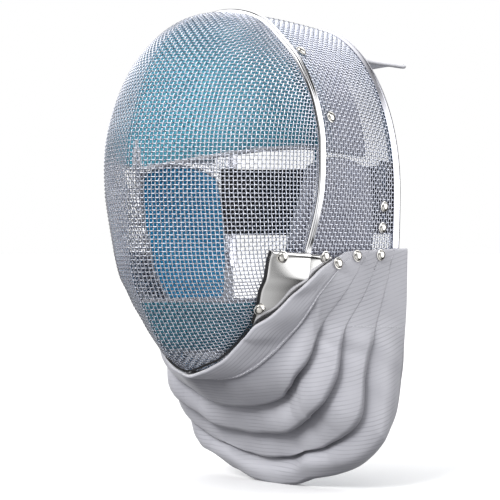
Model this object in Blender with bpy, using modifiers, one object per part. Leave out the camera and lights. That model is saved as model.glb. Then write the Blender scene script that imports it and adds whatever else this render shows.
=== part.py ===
"""Fencing mask: a woven steel bowl and side mesh on a chrome seam, cheek plates, a pleated bib and padding.

Metres, +Z up. The mask faces -Y, +X is the wearer's left. The origin is where the crown pad rests on the head.
Sizes are in millimetres; heights are counted from the level of the bib's top edge.
"""
import math

import bmesh
import bpy
import numpy as np
from mathutils import Matrix, Vector
from mathutils.bvhtree import BVHTree

MM = 0.001
HEAD_SEAT_HEIGHT = 172.0

CROWN_HEIGHT = 188.0
CHIN_HEIGHT = -96.0
SEAM_Y = -53.5
RIM_Y = 53.5
RIM_TOP = 184.0
RIM_HALF_WIDTH = 92.0
RIM_CENTRE = 48.5
SIDE_FOOT = -14.0
SIDE_BULGE = 1.5
RIM_LEG_DRAW = 2.5
SHARP_EDGE = math.radians(40)

MESH_THICKNESS = 2.0
GAP = 0.4
TRIM_DEPTH = 6.0
TRIM_INSIDE = 3.6
TRIM_PROUD = 3.4
TRIM_COVERED_PROUD = 1.5
TRIM_COVER_START = -12.0
TRIM_COVER_RUN = 14.0
RIM_BAND_WIDTH = 9.0
RIM_BAND_HALF_DEPTH = 2.2
PLATE_THICKNESS = 1.2
PLATE_LIFT = 2.2
PLATE_FALL = 4.0
PLATE_STAND_OFF = 2.6
PLATE_CLEARANCE = 0.45
BIB_THICKNESS = 3.0
BIB_CLEARANCE = 0.8
LIFT_STEPS = 4
LIFT_REACH = 14.0
PLEAT_DEPTH = 2.8
PLEAT_PEAK = 0.92
PLEAT_FADE_END = 7.2
PLEAT_FADE_RUN = 1.6
EDGE_ROD_RADIUS = 1.1
EDGE_ROD_END = 4.5
EDGE_ROD_START = 5.0

RIVET_RADIUS = 4.6
RIVET_HEIGHT = 2.7
RIVET_LIFT = 0.55
RIVET_STANDOFF = 9.0

CROWN_PAD_THICKNESS = 11.0
CROWN_PAD_INSET = 4.5
CROWN_PAD_FRONT = -154.0
CROWN_PAD_REAR = 19.0
CROWN_PAD_SPREAD = math.radians(80)
SIDE_PAD_THICKNESS = 9.0
SIDE_PAD_INSET = 5.6
SIDE_PAD_Y = -17.0
SIDE_PAD_HEIGHT = 11.0
SIDE_PAD_HALF_LENGTH = 47.0
SIDE_PAD_HALF_TALL = 60.0
SIDE_PAD_ROUNDING = 0.28
CHIN_PAD_THICKNESS = 7.0
CHIN_PAD_INSET = 2.2
CHIN_PAD_TOP = -38.0
CHIN_PAD_FOOT = -77.0
CHIN_PAD_TURN = 0.8
CHIN_PAD_CENTRE_Y = -45.0
AXIS_HEIGHT = 60.0

STRAP_LOW = 13.0
STRAP_HIGH = 71.0
STRAP_THICKNESS = 2.0
TONGUE_HALF_WIDTH = 32.0
TONGUE_THICKNESS = 5.5
TONGUE_TIP = 26.0
TONGUE_RIM_ARCH = 9.2
TONGUE_TIP_ARCH = 8.0

# Bowl sections: height, depth of the crease ahead of the seam, half width at the seam, seam's Y, sharpness
BOWL = np.array([
    (188.0, 0.0, 0.0, -53.5, 0.25),
    (180.0, 38.0, 37.0, -53.5, 0.35),
    (162.0, 64.5, 59.3, -53.5, 0.50),
    (140.0, 82.0, 79.1, -53.5, 0.65),
    (107.0, 96.0, 94.7, -53.5, 0.75),
    (81.0, 103.0, 99.6, -53.5, 0.80),
    (64.0, 104.5, 99.8, -53.5, 0.80),
    (45.0, 104.5, 98.4, -53.5, 0.80),
    (30.0, 103.5, 95.2, -53.5, 0.80),
    (12.0, 102.5, 89.5, -53.5, 0.80),
    (0.0, 102.0, 85.5, -53.5, 0.85),
    (-20.0, 98.5, 82.5, -53.6, 1.5),
    (-32.0, 93.6, 76.0, -54.0, 2.6),
    (-43.0, 86.7, 71.0, -55.0, 3.4),
    (-53.0, 79.0, 62.0, -57.0, 4.0),
    (-62.0, 72.8, 55.0, -58.0, 4.0),
    (-73.0, 63.0, 44.5, -60.0, 4.0),
    (-81.0, 49.5, 37.0, -66.0, 4.0),
    (-87.5, 28.5, 27.0, -75.0, 4.0),
    (-93.0, 10.0, 14.0, -84.0, 4.0),
    (-96.0, 0.0, 0.0, -90.0, 4.0),
])

# Bib: outer line of each tier, half of it: X, Y and height from the centre front round to the top edge
BIB_LINES = {
    "edge": [(0, -94, -96.5), (14.5, -93, -91.5), (30.5, -87, -82), (39, -83.5, -73.5), (46.5, -81, -64.5),
             (56, -79.5, -53.5), (68, -74, -47), (80, -65, -34), (88.5, -47, -17), (91, -14, -1.5)],
    "yoke": [(0, -74, -98.5), (14, -73, -98.5), (28, -69, -97), (41, -65, -91.5), (56, -59.5, -80),
             (68, -53, -66), (78, -50, -54), (86, -44, -38), (91, -26, -18), (92.5, -2, -0.5)],
    "pleat_1": [(0, -36, -117), (16, -35, -115.5), (31, -32.5, -112), (45, -31.5, -106.5), (58.5, -37, -98.5),
                (69, -40, -88), (75.5, -38, -74), (82, -34, -57), (92, -12, -27), (94, 10, 0)],
    "pleat_2": [(0, -12, -142), (17, -11.5, -140), (34, -10, -134.5), (50, -11, -126), (63, -15, -118.5),
                (75, -20, -110), (85, -19, -93), (88, -15, -65), (93, 6, -32), (94.5, 26, 0.5)],
    "pleat_3": [(0, 6, -165), (20, 8, -163), (40, 9.5, -155.5), (58, 9.5, -147), (74, 6, -136),
                (84, 3.5, -125), (90, 3, -104), (93, 15, -68), (94, 28, -34), (95, 41, 1)],
    "hem": [(0, 15, -191), (22, 15, -189.5), (40, 14, -184), (58, 22, -177), (70, 30, -167.5), (80, 40, -150),
            (87, 49, -129), (92, 56, -84), (95, 57, -40), (96, 57, 1.5)],
}

# Outward swell of the last tier: place round the bib, swell at the middle of the tier
HEM_SWELL = np.array([(0.0, 2.0), (2.0, 5.0), (3.5, 10.0), (5.0, 11.0), (6.2, 8.0), (7.5, 0.0)])

# Cheek plate, down its rows: height, reach of its front edge ahead of the ridge, reach of its rear edge behind
PLATE_ROWS = [
    (-0.5, 33.4, 26.0),
    (-12.0, 34.7, 26.0),
    (-25.0, 34.5, 22.0),
    (-40.0, 31.5, 16.0),
    (-52.0, 25.5, 10.0),
    (-60.0, 22.0, 8.0),
]

# Columns across the cheek plate, as shares of its reach ahead of the ridge (below 0) and behind it (above 0)
PLATE_COLUMNS = np.array([-1, -0.85, -0.65, -0.45, -0.28, -0.13, -0.06, 0.06, 0.3, 0.6, 1.0])

# Back strap: plan of its left half, X and Y from the side mesh to the middle of the nape
STRAP_PLAN = np.array([(88.4, 34.0), (86.9, 43.0), (83.0, 56.0), (70.0, 73.0), (41.0, 87.0), (0.0, 92.0)])

# Tongue: Y and height of its middle line from the side mesh back to its tip
TONGUE_LINE = np.array([(26.0, 179.2), (40.0, 179.0), (54.0, 177.6), (72.0, 170.8), (95.0, 167.2),
                        (131.0, 166.8), (157.0, 165.5)])

# Domed rivets on each side: name, piece that carries it, Y, height
RIVETS = [
    ("rivet_plate_front", "plate", -80.5, -6.0),
    ("rivet_plate_rear", "plate", -36.5, -5.8),
    ("rivet_plate_low", "plate", -86.0, -46.5),
    ("rivet_bib_corner", "bib", -26.0, -10.0),
    ("rivet_bib_top_front", "bib", -4.5, -4.5),
    ("rivet_bib_top_rear", "bib", 22.5, -4.0),
    ("rivet_strap_upper", "side", 30.5, 33.5),
    ("rivet_strap_lower", "side", 30.0, 17.0),
    ("rivet_crown", "side", -40.5, 156.5),
    ("rivet_temple", "side", -36.5, 103.0),
]


def smooth(rows, column, at):
    """Value of a table's column at a height, by a monotone cubic through the rows."""
    x = rows[:, 0]
    y = rows[:, column]
    if x[0] > x[-1]:
        x = x[::-1]
        y = y[::-1]
    return cubic(x, y, at)


def cubic(x, y, at):
    """Monotone cubic through (x, y): each knot's slope is the harmonic mean of the slopes beside it."""
    step = np.diff(x)
    slope = np.diff(y) / step
    pair = slope[:-1] * slope[1:]
    total = slope[:-1] + slope[1:]
    inner = np.where(pair > 0, 2 * pair / np.where(total == 0, 1, total), 0)
    knot = np.concatenate([slope[:1], inner, slope[-1:]])
    at = np.clip(np.asarray(at, float), x[0], x[-1])
    k = np.clip(np.searchsorted(x, at) - 1, 0, len(x) - 2)
    t = (at - x[k]) / step[k]
    rise = step[k]
    return ((1 + 2 * t) * (1 - t) ** 2 * y[k] + t * (1 - t) ** 2 * rise * knot[k]
            + t * t * (3 - 2 * t) * y[k + 1] + t * t * (t - 1) * rise * knot[k + 1])


def squared(column, height):
    """Table width or depth, interpolated as its square so that it closes round at the crown and the chin."""
    rows = np.column_stack([BOWL[:, 0], BOWL[:, column] ** 2])
    return np.sqrt(np.maximum(smooth(rows, 1, height), 0))


def bowl_size(height):
    """Crease depth, half width, seam Y and crease sharpness at a height."""
    return squared(1, height), squared(2, height), smooth(BOWL, 3, height), smooth(BOWL, 4, height)


def bowl_point(height, turn):
    """Point of the bowl: turn runs from 0 on the crease to 1 on the seam, along an ellipse cut off at the
    crease."""
    depth, width, seam, sharp = bowl_size(height)
    start = np.arcsin(sharp / (1 + sharp))
    angle = start + (math.pi / 2 - start) * turn
    across = (1 + sharp) * np.sin(angle) - sharp
    return width * across, seam - depth * np.cos(angle) / np.cos(start), height + 0 * turn


def rim_half(turn):
    """Half of the rear rim, from its crown (0) to its foot (1), in the plane of the rim."""
    tall = RIM_TOP - RIM_CENTRE
    straight = RIM_CENTRE - SIDE_FOOT
    quarter = (tall + RIM_HALF_WIDTH) / 2 * math.pi / 2
    share = quarter / (quarter + straight)
    arc = np.clip(turn / share, 0, 1) * math.pi / 2
    drop = np.clip((turn - share) / (1 - share), 0, 1) * straight
    draw = RIM_LEG_DRAW * (drop / straight) ** 2
    return RIM_HALF_WIDTH * np.sin(arc) - draw, RIM_CENTRE + tall * np.cos(arc) - drop


def seam_half(turn):
    """Half of the seam arch, from the crown (0) to the level of the side mesh's foot (1), evenly along it."""
    heights = CROWN_HEIGHT - (CROWN_HEIGHT - SIDE_FOOT) * (1 - np.cos(np.linspace(0, math.pi, 400))) / 2
    width = squared(2, heights)
    length = np.concatenate([[0], np.cumsum(np.hypot(np.diff(width), np.diff(heights)))])
    height = np.interp(turn * length[-1], length, heights)
    return squared(2, height), height


def side_point(turn, back):
    """Point of the side mesh: turn from the crown to the foot, back from the seam to the rim, on straight lines
    that bulge by SIDE_BULGE."""
    front_x, front_z = seam_half(turn)
    rear_x, rear_z = rim_half(turn)
    bulge = SIDE_BULGE * np.sin(math.pi * back)
    above = front_z - AXIS_HEIGHT
    outward = np.hypot(front_x, above)
    x = front_x + (rear_x - front_x) * back + bulge * front_x / outward
    z = front_z + (rear_z - front_z) * back + bulge * np.maximum(above, 0) / outward
    front_y = smooth(BOWL, 3, front_z)
    return x, front_y + (RIM_Y - front_y) * back, z


def grid_points(surface, first, second):
    """Rows of points of a surface of two parameters, as an array (first, second, 3)."""
    a, b = np.meshgrid(first, second, indexing="ij")
    return np.stack(np.broadcast_arrays(*surface(a, b)), -1)


def to_row(points):
    """Millimetre points above the bib's level, in metres from the head seat."""
    out = np.array(points, float)
    out[..., 2] -= HEAD_SEAT_HEIGHT
    return out * MM


def new_object(name, mesh, material):
    mesh.materials.append(material)
    piece = bpy.data.objects.new(name, mesh)
    mask.objects.link(piece)
    return piece


def grid_object(name, points, material, close=False):
    """Sheet of quads over a grid of points; close joins its last column to its first."""
    rows, columns = points.shape[:2]
    index = np.arange(rows * columns).reshape(rows, columns)
    after = np.roll(index, -1, axis=1) if close else index[:, 1:]
    here = index if close else index[:, :-1]
    faces = np.stack([here[:-1], here[1:], after[1:], after[:-1]], -1).reshape(-1, 4)
    mesh = bpy.data.meshes.new(name)
    mesh.from_pydata(to_row(points).reshape(-1, 3).tolist(), [], faces.tolist())
    shape = bmesh.new()
    shape.from_mesh(mesh)
    bmesh.ops.remove_doubles(shape, verts=shape.verts, dist=0.02 * MM)
    if close:
        edges = [edge for edge in shape.edges if edge.is_boundary and not on_plane(edge)]
        bmesh.ops.holes_fill(shape, edges=edges)
    face_away(shape, close)
    shape.to_mesh(mesh)
    shape.free()
    mesh.shade_smooth()
    mesh.set_sharp_from_angle(angle=SHARP_EDGE)
    return new_object(name, mesh, material)


def on_plane(edge):
    return all(abs(vert.co.x) < 0.02 * MM for vert in edge.verts)


def face_away(shape, closed):
    """Turn a closed shape's faces outward, or an open sheet's faces away from the middle of the head."""
    bmesh.ops.recalc_face_normals(shape, faces=shape.faces)
    if closed:
        return
    middle = Vector((0, 0, (AXIS_HEIGHT - HEAD_SEAT_HEIGHT) * MM))
    outward = [(face.calc_center_median() - middle).dot(face.normal) * face.calc_area() for face in shape.faces]
    if sum(outward) < 0:
        bmesh.ops.reverse_faces(shape, faces=shape.faces)


def mirror(piece):
    modifier = piece.modifiers.new("both halves", "MIRROR")
    modifier.use_axis[0] = True
    modifier.use_clip = True
    modifier.merge_threshold = 0.00002


def thicken(piece, thickness, offset):
    modifier = piece.modifiers.new("wall", "SOLIDIFY")
    modifier.thickness = thickness * MM
    modifier.offset = offset
    modifier.use_even_offset = True


def twin(piece, name):
    """The same piece for the wearer's right, turned over the middle plane."""
    graph = bpy.context.evaluated_depsgraph_get()
    mesh = bpy.data.meshes.new_from_object(piece.evaluated_get(graph))
    mesh.name = name
    mesh.transform(Matrix.Scale(-1, 4, Vector((1, 0, 0))))
    mesh.flip_normals()
    other = bpy.data.objects.new(name, mesh)
    mask.objects.link(other)
    return other


def tree_of(piece):
    graph = bpy.context.evaluated_depsgraph_get()
    return BVHTree.FromObject(piece, graph)


def material(name, colour, roughness, metallic):
    made = bpy.data.materials.new(name)
    made.use_nodes = True
    shader = made.node_tree.nodes["Principled BSDF"]
    shader.inputs["Base Color"].default_value = (*colour, 1)
    shader.inputs["Roughness"].default_value = roughness
    shader.inputs["Metallic"].default_value = metallic
    made.diffuse_color = (*colour, 1)
    return made


def swept(name, path, outward, axial, profile, finish, ring):
    """Profile of (outward, axial) offsets, one for all or one for each point, carried along a path; ring leaves
    both ends open on the middle plane."""
    profile = np.array(profile, float)
    offsets = np.broadcast_to(profile, (len(path), *profile.shape[-2:]))
    points = path[:, None] + offsets[..., :1] * outward[:, None] + offsets[..., 1:] * axial[:, None]
    piece = grid_object(name, points, finish, close=True)
    if ring:
        mirror(piece)
    return piece


def turn_clear_of(tree, height):
    """Largest turn at a height up to which the bowl's wall stays clear of a solid, or -1 where it never is."""
    turns = np.linspace(0, 1, 240)
    places = to_row(np.stack(bowl_point(height + 0 * turns, turns), -1))
    room = (MESH_THICKNESS / 2 + 1.4 * GAP) * MM
    for turn, place in zip(turns, places):
        near, normal, face, distance = tree.find_nearest(Vector(place))
        if distance < room or (Vector(place) - near).dot(normal) < 0:
            return turn - turns[1]
    return 1.0


def build_face_mesh():
    """Half bowl from the crease to just short of the seam strip, mirrored at the crease."""
    tree = tree_of(bpy.data.objects["seam_trim"])
    middle = (CROWN_HEIGHT + CHIN_HEIGHT) / 2
    fine = middle + (CROWN_HEIGHT - middle) * np.cos(np.linspace(0, math.pi, 400))
    clear = [height for height in fine if turn_clear_of(tree, height) >= 0]
    middle = (clear[0] + clear[-1]) / 2
    heights = middle + (clear[0] - middle) * np.cos(np.linspace(0, math.pi, 22))
    turns = [max(turn_clear_of(tree, height), 0) for height in heights]
    share = np.linspace(0, 1, 11)
    rows = [np.stack(bowl_point(height + 0 * share, turn * share), -1) for height, turn in zip(heights, turns)]
    piece = grid_object("face_mesh", np.array(rows), steel_mesh)
    mirror(piece)
    thicken(piece, MESH_THICKNESS, 0)
    return piece


def build_side_mesh():
    """Half of the band over the crown and the side, from the seam strip to the rim band, mirrored."""
    front = (TRIM_DEPTH / 2 + GAP) / (RIM_Y - SEAM_Y)
    back = 1 - (RIM_BAND_WIDTH + GAP) / (RIM_Y - SEAM_Y)
    points = grid_points(side_point, np.linspace(0, 1, 23), np.linspace(front, back, 4))
    piece = grid_object("side_mesh", points, steel_mesh)
    mirror(piece)
    thicken(piece, MESH_THICKNESS, 0)
    return piece


def seam_path(count):
    """Half of the seam from crown to chin, evenly spaced, with its outward and its backward direction."""
    heights = CROWN_HEIGHT - (CROWN_HEIGHT - CHIN_HEIGHT) * (1 - np.cos(np.linspace(0, math.pi, 2000))) / 2
    line = np.stack([squared(2, heights), smooth(BOWL, 3, heights), heights], -1)
    length = np.concatenate([[0], np.cumsum(np.linalg.norm(np.diff(line, axis=0), axis=1))])
    at = np.linspace(0, length[-1], count)
    path = np.stack([np.interp(at, length, line[:, k]) for k in range(3)], -1)
    along = np.gradient(path, axis=0)
    along[0] = (1, 0, 0)
    along[-1] = (-1, 0, 0)
    along /= np.linalg.norm(along, axis=1)[:, None]
    path[[0, -1], 0] = 0
    out = np.stack([-along[:, 2], 0 * at, along[:, 0]], -1)
    out /= np.linalg.norm(out, axis=1)[:, None]
    back = np.cross(along, out)
    back *= np.sign(back[:, 1:2])
    return path, out, back


def build_seam_trim():
    """Chrome strip of half-round front and flat side, carried round the whole seam."""
    path, out, back = seam_path(38)
    half = TRIM_DEPTH / 2
    covered = np.clip((TRIM_COVER_START - path[:, 2]) / TRIM_COVER_RUN, 0, 1)
    profiles = []
    for proud in TRIM_PROUD + (TRIM_COVERED_PROUD - TRIM_PROUD) * covered:
        profiles.append([(proud, half), (proud, -0.3 * half), (0.72 * proud, -0.8 * half), (0, -half),
                         (-0.72 * TRIM_INSIDE, -0.8 * half), (-TRIM_INSIDE, -0.3 * half), (-TRIM_INSIDE, half)])
    return swept("seam_trim", path, out, back, profiles, chrome, True)


def build_rear_rim():
    """Folded steel band round the rear edge of the side mesh."""
    turns = np.linspace(0, 1, 25)
    x, z = rim_half(turns)
    path = np.stack([x, RIM_Y - RIM_BAND_WIDTH / 2 + 0 * x, z], -1)
    along = np.gradient(path, axis=0)
    along[0] = (1, 0, 0)
    along /= np.linalg.norm(along, axis=1)[:, None]
    out = np.stack([-along[:, 2], 0 * x, along[:, 0]], -1)
    back = np.tile([0, 1, 0], (len(x), 1))
    half = RIM_BAND_WIDTH / 2
    deep = RIM_BAND_HALF_DEPTH
    profile = [(deep, -half), (-deep, -half), (-deep, half - 1), (-deep + 1, half), (deep - 1, half),
               (deep, half - 1)]
    return swept("rear_rim", path, out, back, profile, rim_steel, True)


def outline_at(height):
    """Plan of the left half of the mask at a height, from the crease round the seam to the rim, with its
    outward directions and its length measured from the seam."""
    turn = np.linspace(0, 1, 200)
    x, y, z = bowl_point(height + 0 * turn, turn)
    back = np.linspace(0, 1, 120)[1:]
    side_x = x[-1] + (RIM_HALF_WIDTH - x[-1]) * back
    side_y = y[-1] + (RIM_Y - y[-1]) * back
    plan = np.column_stack([np.concatenate([x, side_x]), np.concatenate([y, side_y])])
    step = np.gradient(plan, axis=0)
    out = np.column_stack([np.abs(step[:, 1]), -step[:, 0]])
    out /= np.linalg.norm(out, axis=1)[:, None]
    length = np.concatenate([[0], np.cumsum(np.linalg.norm(np.diff(plan, axis=0), axis=1))])
    return plan, out, length - length[len(turn) - 1]


def build_cheek_plate():
    """Plate bent over the seam: it lies on the bowl in front and on the side behind, and stands off over the
    strip."""
    share = PLATE_COLUMNS
    rows = []
    for height in np.linspace(PLATE_ROWS[0][0], PLATE_ROWS[-1][0], 12):
        table = np.array(PLATE_ROWS)
        ahead = smooth(table, 1, height)
        behind = smooth(table, 2, height)
        plan, out, length = outline_at(height)
        at = np.where(share < 0, share * ahead, share * behind)
        lift = PLATE_LIFT + PLATE_STAND_OFF * (1 - np.abs(share)) ** 2
        base = np.stack([np.interp(at, length, plan[:, k]) for k in (0, 1)], -1)
        away = np.stack([np.interp(at, length, out[:, k]) for k in (0, 1)], -1)
        flat = base + away * lift[:, None]
        rows.append(np.column_stack([flat, height - PLATE_FALL * (share + 1) / 2]))
    piece = grid_object("cheek_plate_left", np.array(rows), polished_steel)
    covered = ("face_mesh", "seam_trim", "side_mesh")
    clear_of(piece, [tree_of(bpy.data.objects[name]) for name in covered], PLATE_CLEARANCE)
    thicken(piece, PLATE_THICKNESS, 1)
    return piece


def clear_of(piece, trees, room):
    """Move each point of a sheet out along the covered piece's surface until it has room."""
    for vert in piece.data.vertices:
        for attempt in range(3):
            for tree in trees:
                near, normal, face, distance = tree.find_nearest(vert.co)
                side = (vert.co - near).dot(normal)
                height = distance if side > 0 else -distance
                if height < room * MM:
                    vert.co += normal * (room * MM - height)


def finer(values, times):
    """Grid of values with straight steps filled in between its rows and its columns."""
    for axis in (0, 1):
        count = values.shape[axis]
        at = np.linspace(0, count - 1, (count - 1) * times + 1)
        low = np.minimum(at.astype(int), count - 2)
        part = (at - low).reshape([-1 if k == axis else 1 for k in range(3)])
        values = np.take(values, low, axis) * (1 - part) + np.take(values, low + 1, axis) * part
    return values


def lift_over(points, out, trees):
    """How far each point of a grid rises along its outward direction to lie over all that it covers."""
    close = finer(points, LIFT_STEPS)
    away = finer(out, LIFT_STEPS)
    need = np.zeros(close.shape[:2])
    for index in np.ndindex(need.shape):
        direction = Vector(away[index]).normalized()
        start = Vector(to_row(close[index])) + direction * LIFT_REACH * MM
        for tree in trees:
            near, normal, face, distance = tree.ray_cast(start, -direction, 2 * LIFT_REACH * MM)
            if near is not None:
                need[index] = max(need[index], LIFT_REACH - distance / MM + BIB_CLEARANCE)
    lift = np.zeros(points.shape[:2])
    for index in np.ndindex(lift.shape):
        rows, columns = (slice(max(k * LIFT_STEPS - 3, 0), k * LIFT_STEPS + 4) for k in index)
        lift[index] = need[rows, columns].max()
    return lift


def bib_surface(around, across):
    """Base surface of the bib: around runs 0..9 along the lines, across 0..5 from its edge to its hem. Each line
    goes on over the middle as its own reflection, so that it crosses the middle plane square."""
    lines = np.array(list(BIB_LINES.values()), float)
    lines = np.concatenate([lines[:, 2:0:-1] * [-1, 1, 1], lines], axis=1)
    knots = np.arange(lines.shape[1]) - 2.0
    order = np.arange(lines.shape[0])
    here = np.stack([np.stack([cubic(knots, line[:, k], around) for k in range(3)], -1) for line in lines])
    out = np.empty((len(around), len(across), 3))
    for row in range(len(around)):
        for k in range(3):
            out[row, :, k] = cubic(order, here[:, row, k], across)
    return out


def build_bib():
    """Half of the bib: a smooth yoke, overlapping pleats that stand proud towards their lower edges, and a
    last tier that swells."""
    around = np.linspace(0, 9, 20)
    tier = np.array([0.0, 0.35, 0.7, PLEAT_PEAK])
    across = np.concatenate([[0, 0.5]] + [start + tier for start in (1, 2, 3, 4)] + [[5]])
    points = bib_surface(around, across)
    low = np.gradient(points, axis=1)
    along = np.gradient(points, axis=0)
    out = np.cross(along, low)
    out /= np.linalg.norm(out, axis=2)[..., None] + 1e-9
    out *= np.sign((out * (points - [0, 0, AXIS_HEIGHT])).sum(-1))[..., None]
    out[0, :, 0] = 0
    part = across - np.floor(across)
    proud = np.where(across > 1, np.clip(part / PLEAT_PEAK, 0, 1) ** 1.5, 0)
    fade = np.clip((PLEAT_FADE_END - around) / PLEAT_FADE_RUN, 0, 1)
    belly = np.interp(around, HEM_SWELL[:, 0], HEM_SWELL[:, 1])
    swell = belly[:, None] * np.sin(math.pi * np.clip(across - 4, 0, 1))
    points = points + out * (PLEAT_DEPTH * fade[:, None] * proud[None] + swell)[..., None]
    points[0, :, 0] = 0
    carriers = ("face_mesh", "seam_trim", "side_mesh", "rear_rim", "cheek_plate_left")
    trees = [tree_of(bpy.data.objects[name]) for name in carriers]
    points = points + out * lift_over(points, out, trees)[..., None]
    points[0, :, 0] = 0
    piece = grid_object("bib", points, lame_cloth)
    mirror(piece)
    thicken(piece, BIB_THICKNESS, 1)
    return piece


def build_jaw_seam():
    """Dark edge binding along the bowl's lower edge, from plate to plate under the chin."""
    around = np.linspace(0, EDGE_ROD_END, 12)
    half, inner = bib_surface(around, np.array([0, 0.5])).transpose(1, 0, 2)
    away = half - inner
    half = half + away / np.linalg.norm(away, axis=1)[:, None] * (2 * EDGE_ROD_RADIUS + 5 * GAP)
    outward = half - [0, SEAM_Y, AXIS_HEIGHT]
    half = half + outward / np.linalg.norm(outward, axis=1)[:, None] * EDGE_ROD_START
    tree = tree_of(bpy.data.objects["face_mesh"])
    path = []
    for point in to_row(half):
        near, normal, face, distance = tree.find_nearest(Vector(point))
        path.append(near + normal * (EDGE_ROD_RADIUS + GAP) * MM)
    path[0].x = 0
    whole = [Vector((-p.x, p.y, p.z)) for p in reversed(path[1:])] + path
    curve = bpy.data.curves.new("jaw_seam", "CURVE")
    curve.dimensions = "3D"
    spline = curve.splines.new("POLY")
    spline.points.add(len(whole) - 1)
    for point, place in zip(spline.points, whole):
        point.co = (*place, 1)
    curve.bevel_depth = EDGE_ROD_RADIUS * MM
    curve.bevel_resolution = 1
    curve.use_fill_caps = True
    curve.materials.append(dark_binding)
    piece = bpy.data.objects.new("jaw_seam", curve)
    mask.objects.link(piece)
    return piece


def wall_x(y, height):
    """Half width of the mask's wall at a place along it and a height."""
    depth, width, seam, sharp = bowl_size(height)
    forward = np.clip((seam - y) / np.maximum(depth, 0.001), 0, 1)
    shape = 1 - (sharp / (1 + sharp)) ** 2
    ahead = width * ((1 + sharp) * np.sqrt(np.clip(1 - shape * forward ** 2, 0, 1)) - sharp)
    tall = RIM_TOP - RIM_CENTRE
    above = np.clip((height - RIM_CENTRE) / tall, 0, 1)
    rim = RIM_HALF_WIDTH * np.sqrt(1 - above ** 2)
    back = np.clip((y - seam) / (RIM_Y - seam), 0, 1)
    return np.where(y < seam, ahead, width + (rim - width) * back)


def wall_reach(y, angle):
    """Distance from the mask's middle line to its wall, at an angle from straight up, by halving."""
    low = 0 * angle + 0 * y
    high = low + 200
    for step in range(40):
        reach = (low + high) / 2
        height = AXIS_HEIGHT + reach * np.cos(angle)
        inside = reach * np.abs(np.sin(angle)) < wall_x(y, height)
        inside &= (height < CROWN_HEIGHT) & (y > smooth(BOWL, 3, height) - squared(1, height))
        low = np.where(inside, reach, low)
        high = np.where(inside, high, reach)
    return low


def build_crown_pad():
    """Half of the padded cap inside the crown, mirrored."""
    lengths = np.linspace(CROWN_PAD_FRONT, CROWN_PAD_REAR, 12)
    y, angle = np.meshgrid(lengths, np.linspace(0, CROWN_PAD_SPREAD, 8), indexing="ij")
    reach = wall_reach(y, angle)
    wall = np.stack([reach * np.sin(angle), y, AXIS_HEIGHT + reach * np.cos(angle)], -1)
    out = np.cross(np.gradient(wall, axis=1), np.gradient(wall, axis=0))
    points = wall - out / np.linalg.norm(out, axis=2)[..., None] * CROWN_PAD_INSET
    points[:, 0, 0] = 0
    piece = grid_object("crown_pad", points, pad_lining)
    mirror(piece)
    thicken(piece, CROWN_PAD_THICKNESS, -1)
    return piece


def build_side_pad():
    """Padded cheek panel inside the side: a rounded rectangle bent to the wall."""
    p, q = np.meshgrid(np.linspace(-1, 1, 8), np.linspace(-1, 1, 9), indexing="ij")
    y = SIDE_PAD_Y + SIDE_PAD_HALF_LENGTH * p * np.sqrt(1 - SIDE_PAD_ROUNDING * q ** 2)
    z = SIDE_PAD_HEIGHT + SIDE_PAD_HALF_TALL * q * np.sqrt(1 - SIDE_PAD_ROUNDING * p ** 2)
    x = wall_x(y, z) - SIDE_PAD_INSET
    piece = grid_object("side_pad_left", np.stack([x, y, z], -1), pad_lining)
    thicken(piece, SIDE_PAD_THICKNESS, -1)
    return piece


def build_chin_pad():
    """Half of the padded chin band inside the bowl's lower front, mirrored; its inset grows towards its foot, where
    the bowl slopes inward."""
    heights = np.linspace(CHIN_PAD_TOP, CHIN_PAD_FOOT, 7)
    points = grid_points(bowl_point, heights, np.linspace(0, CHIN_PAD_TURN, 9))
    away = (points - [0, CHIN_PAD_CENTRE_Y, 0]) * [1, 1, 0]
    away /= np.linalg.norm(away, axis=2)[..., None]
    slope = 1 + 0.9 * ((CHIN_PAD_TOP - heights) / (CHIN_PAD_TOP - CHIN_PAD_FOOT)) ** 2
    points = points - away * (CHIN_PAD_INSET * slope)[:, None, None]
    points[:, 0, 0] = 0
    piece = grid_object("chin_pad", points, pad_lining)
    mirror(piece)
    thicken(piece, CHIN_PAD_THICKNESS, -1)
    return piece


def build_back_strap():
    """Wide elastic band behind the head, from side mesh to side mesh."""
    knots = np.arange(len(STRAP_PLAN))
    half = np.stack([cubic(knots, STRAP_PLAN[:, k], np.linspace(0, knots[-1], 16)) for k in (0, 1)], -1)
    plan = np.concatenate([half, (half * [-1, 1])[-2::-1]])
    middle = (STRAP_LOW + STRAP_HIGH) / 2
    path = np.column_stack([plan, np.full(len(plan), middle)])
    along = np.gradient(path, axis=0)
    along /= np.linalg.norm(along, axis=1)[:, None]
    up = np.tile([0, 0, 1], (len(path), 1))
    out = np.cross(along, up)
    tall = (STRAP_HIGH - STRAP_LOW) / 2
    thick = STRAP_THICKNESS / 2
    profile = [(thick, -tall), (thick, 0), (thick, tall), (-thick, tall), (-thick, 0), (-thick, -tall)]
    return swept("back_strap", path, out, up, profile, black_elastic, False)


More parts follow.
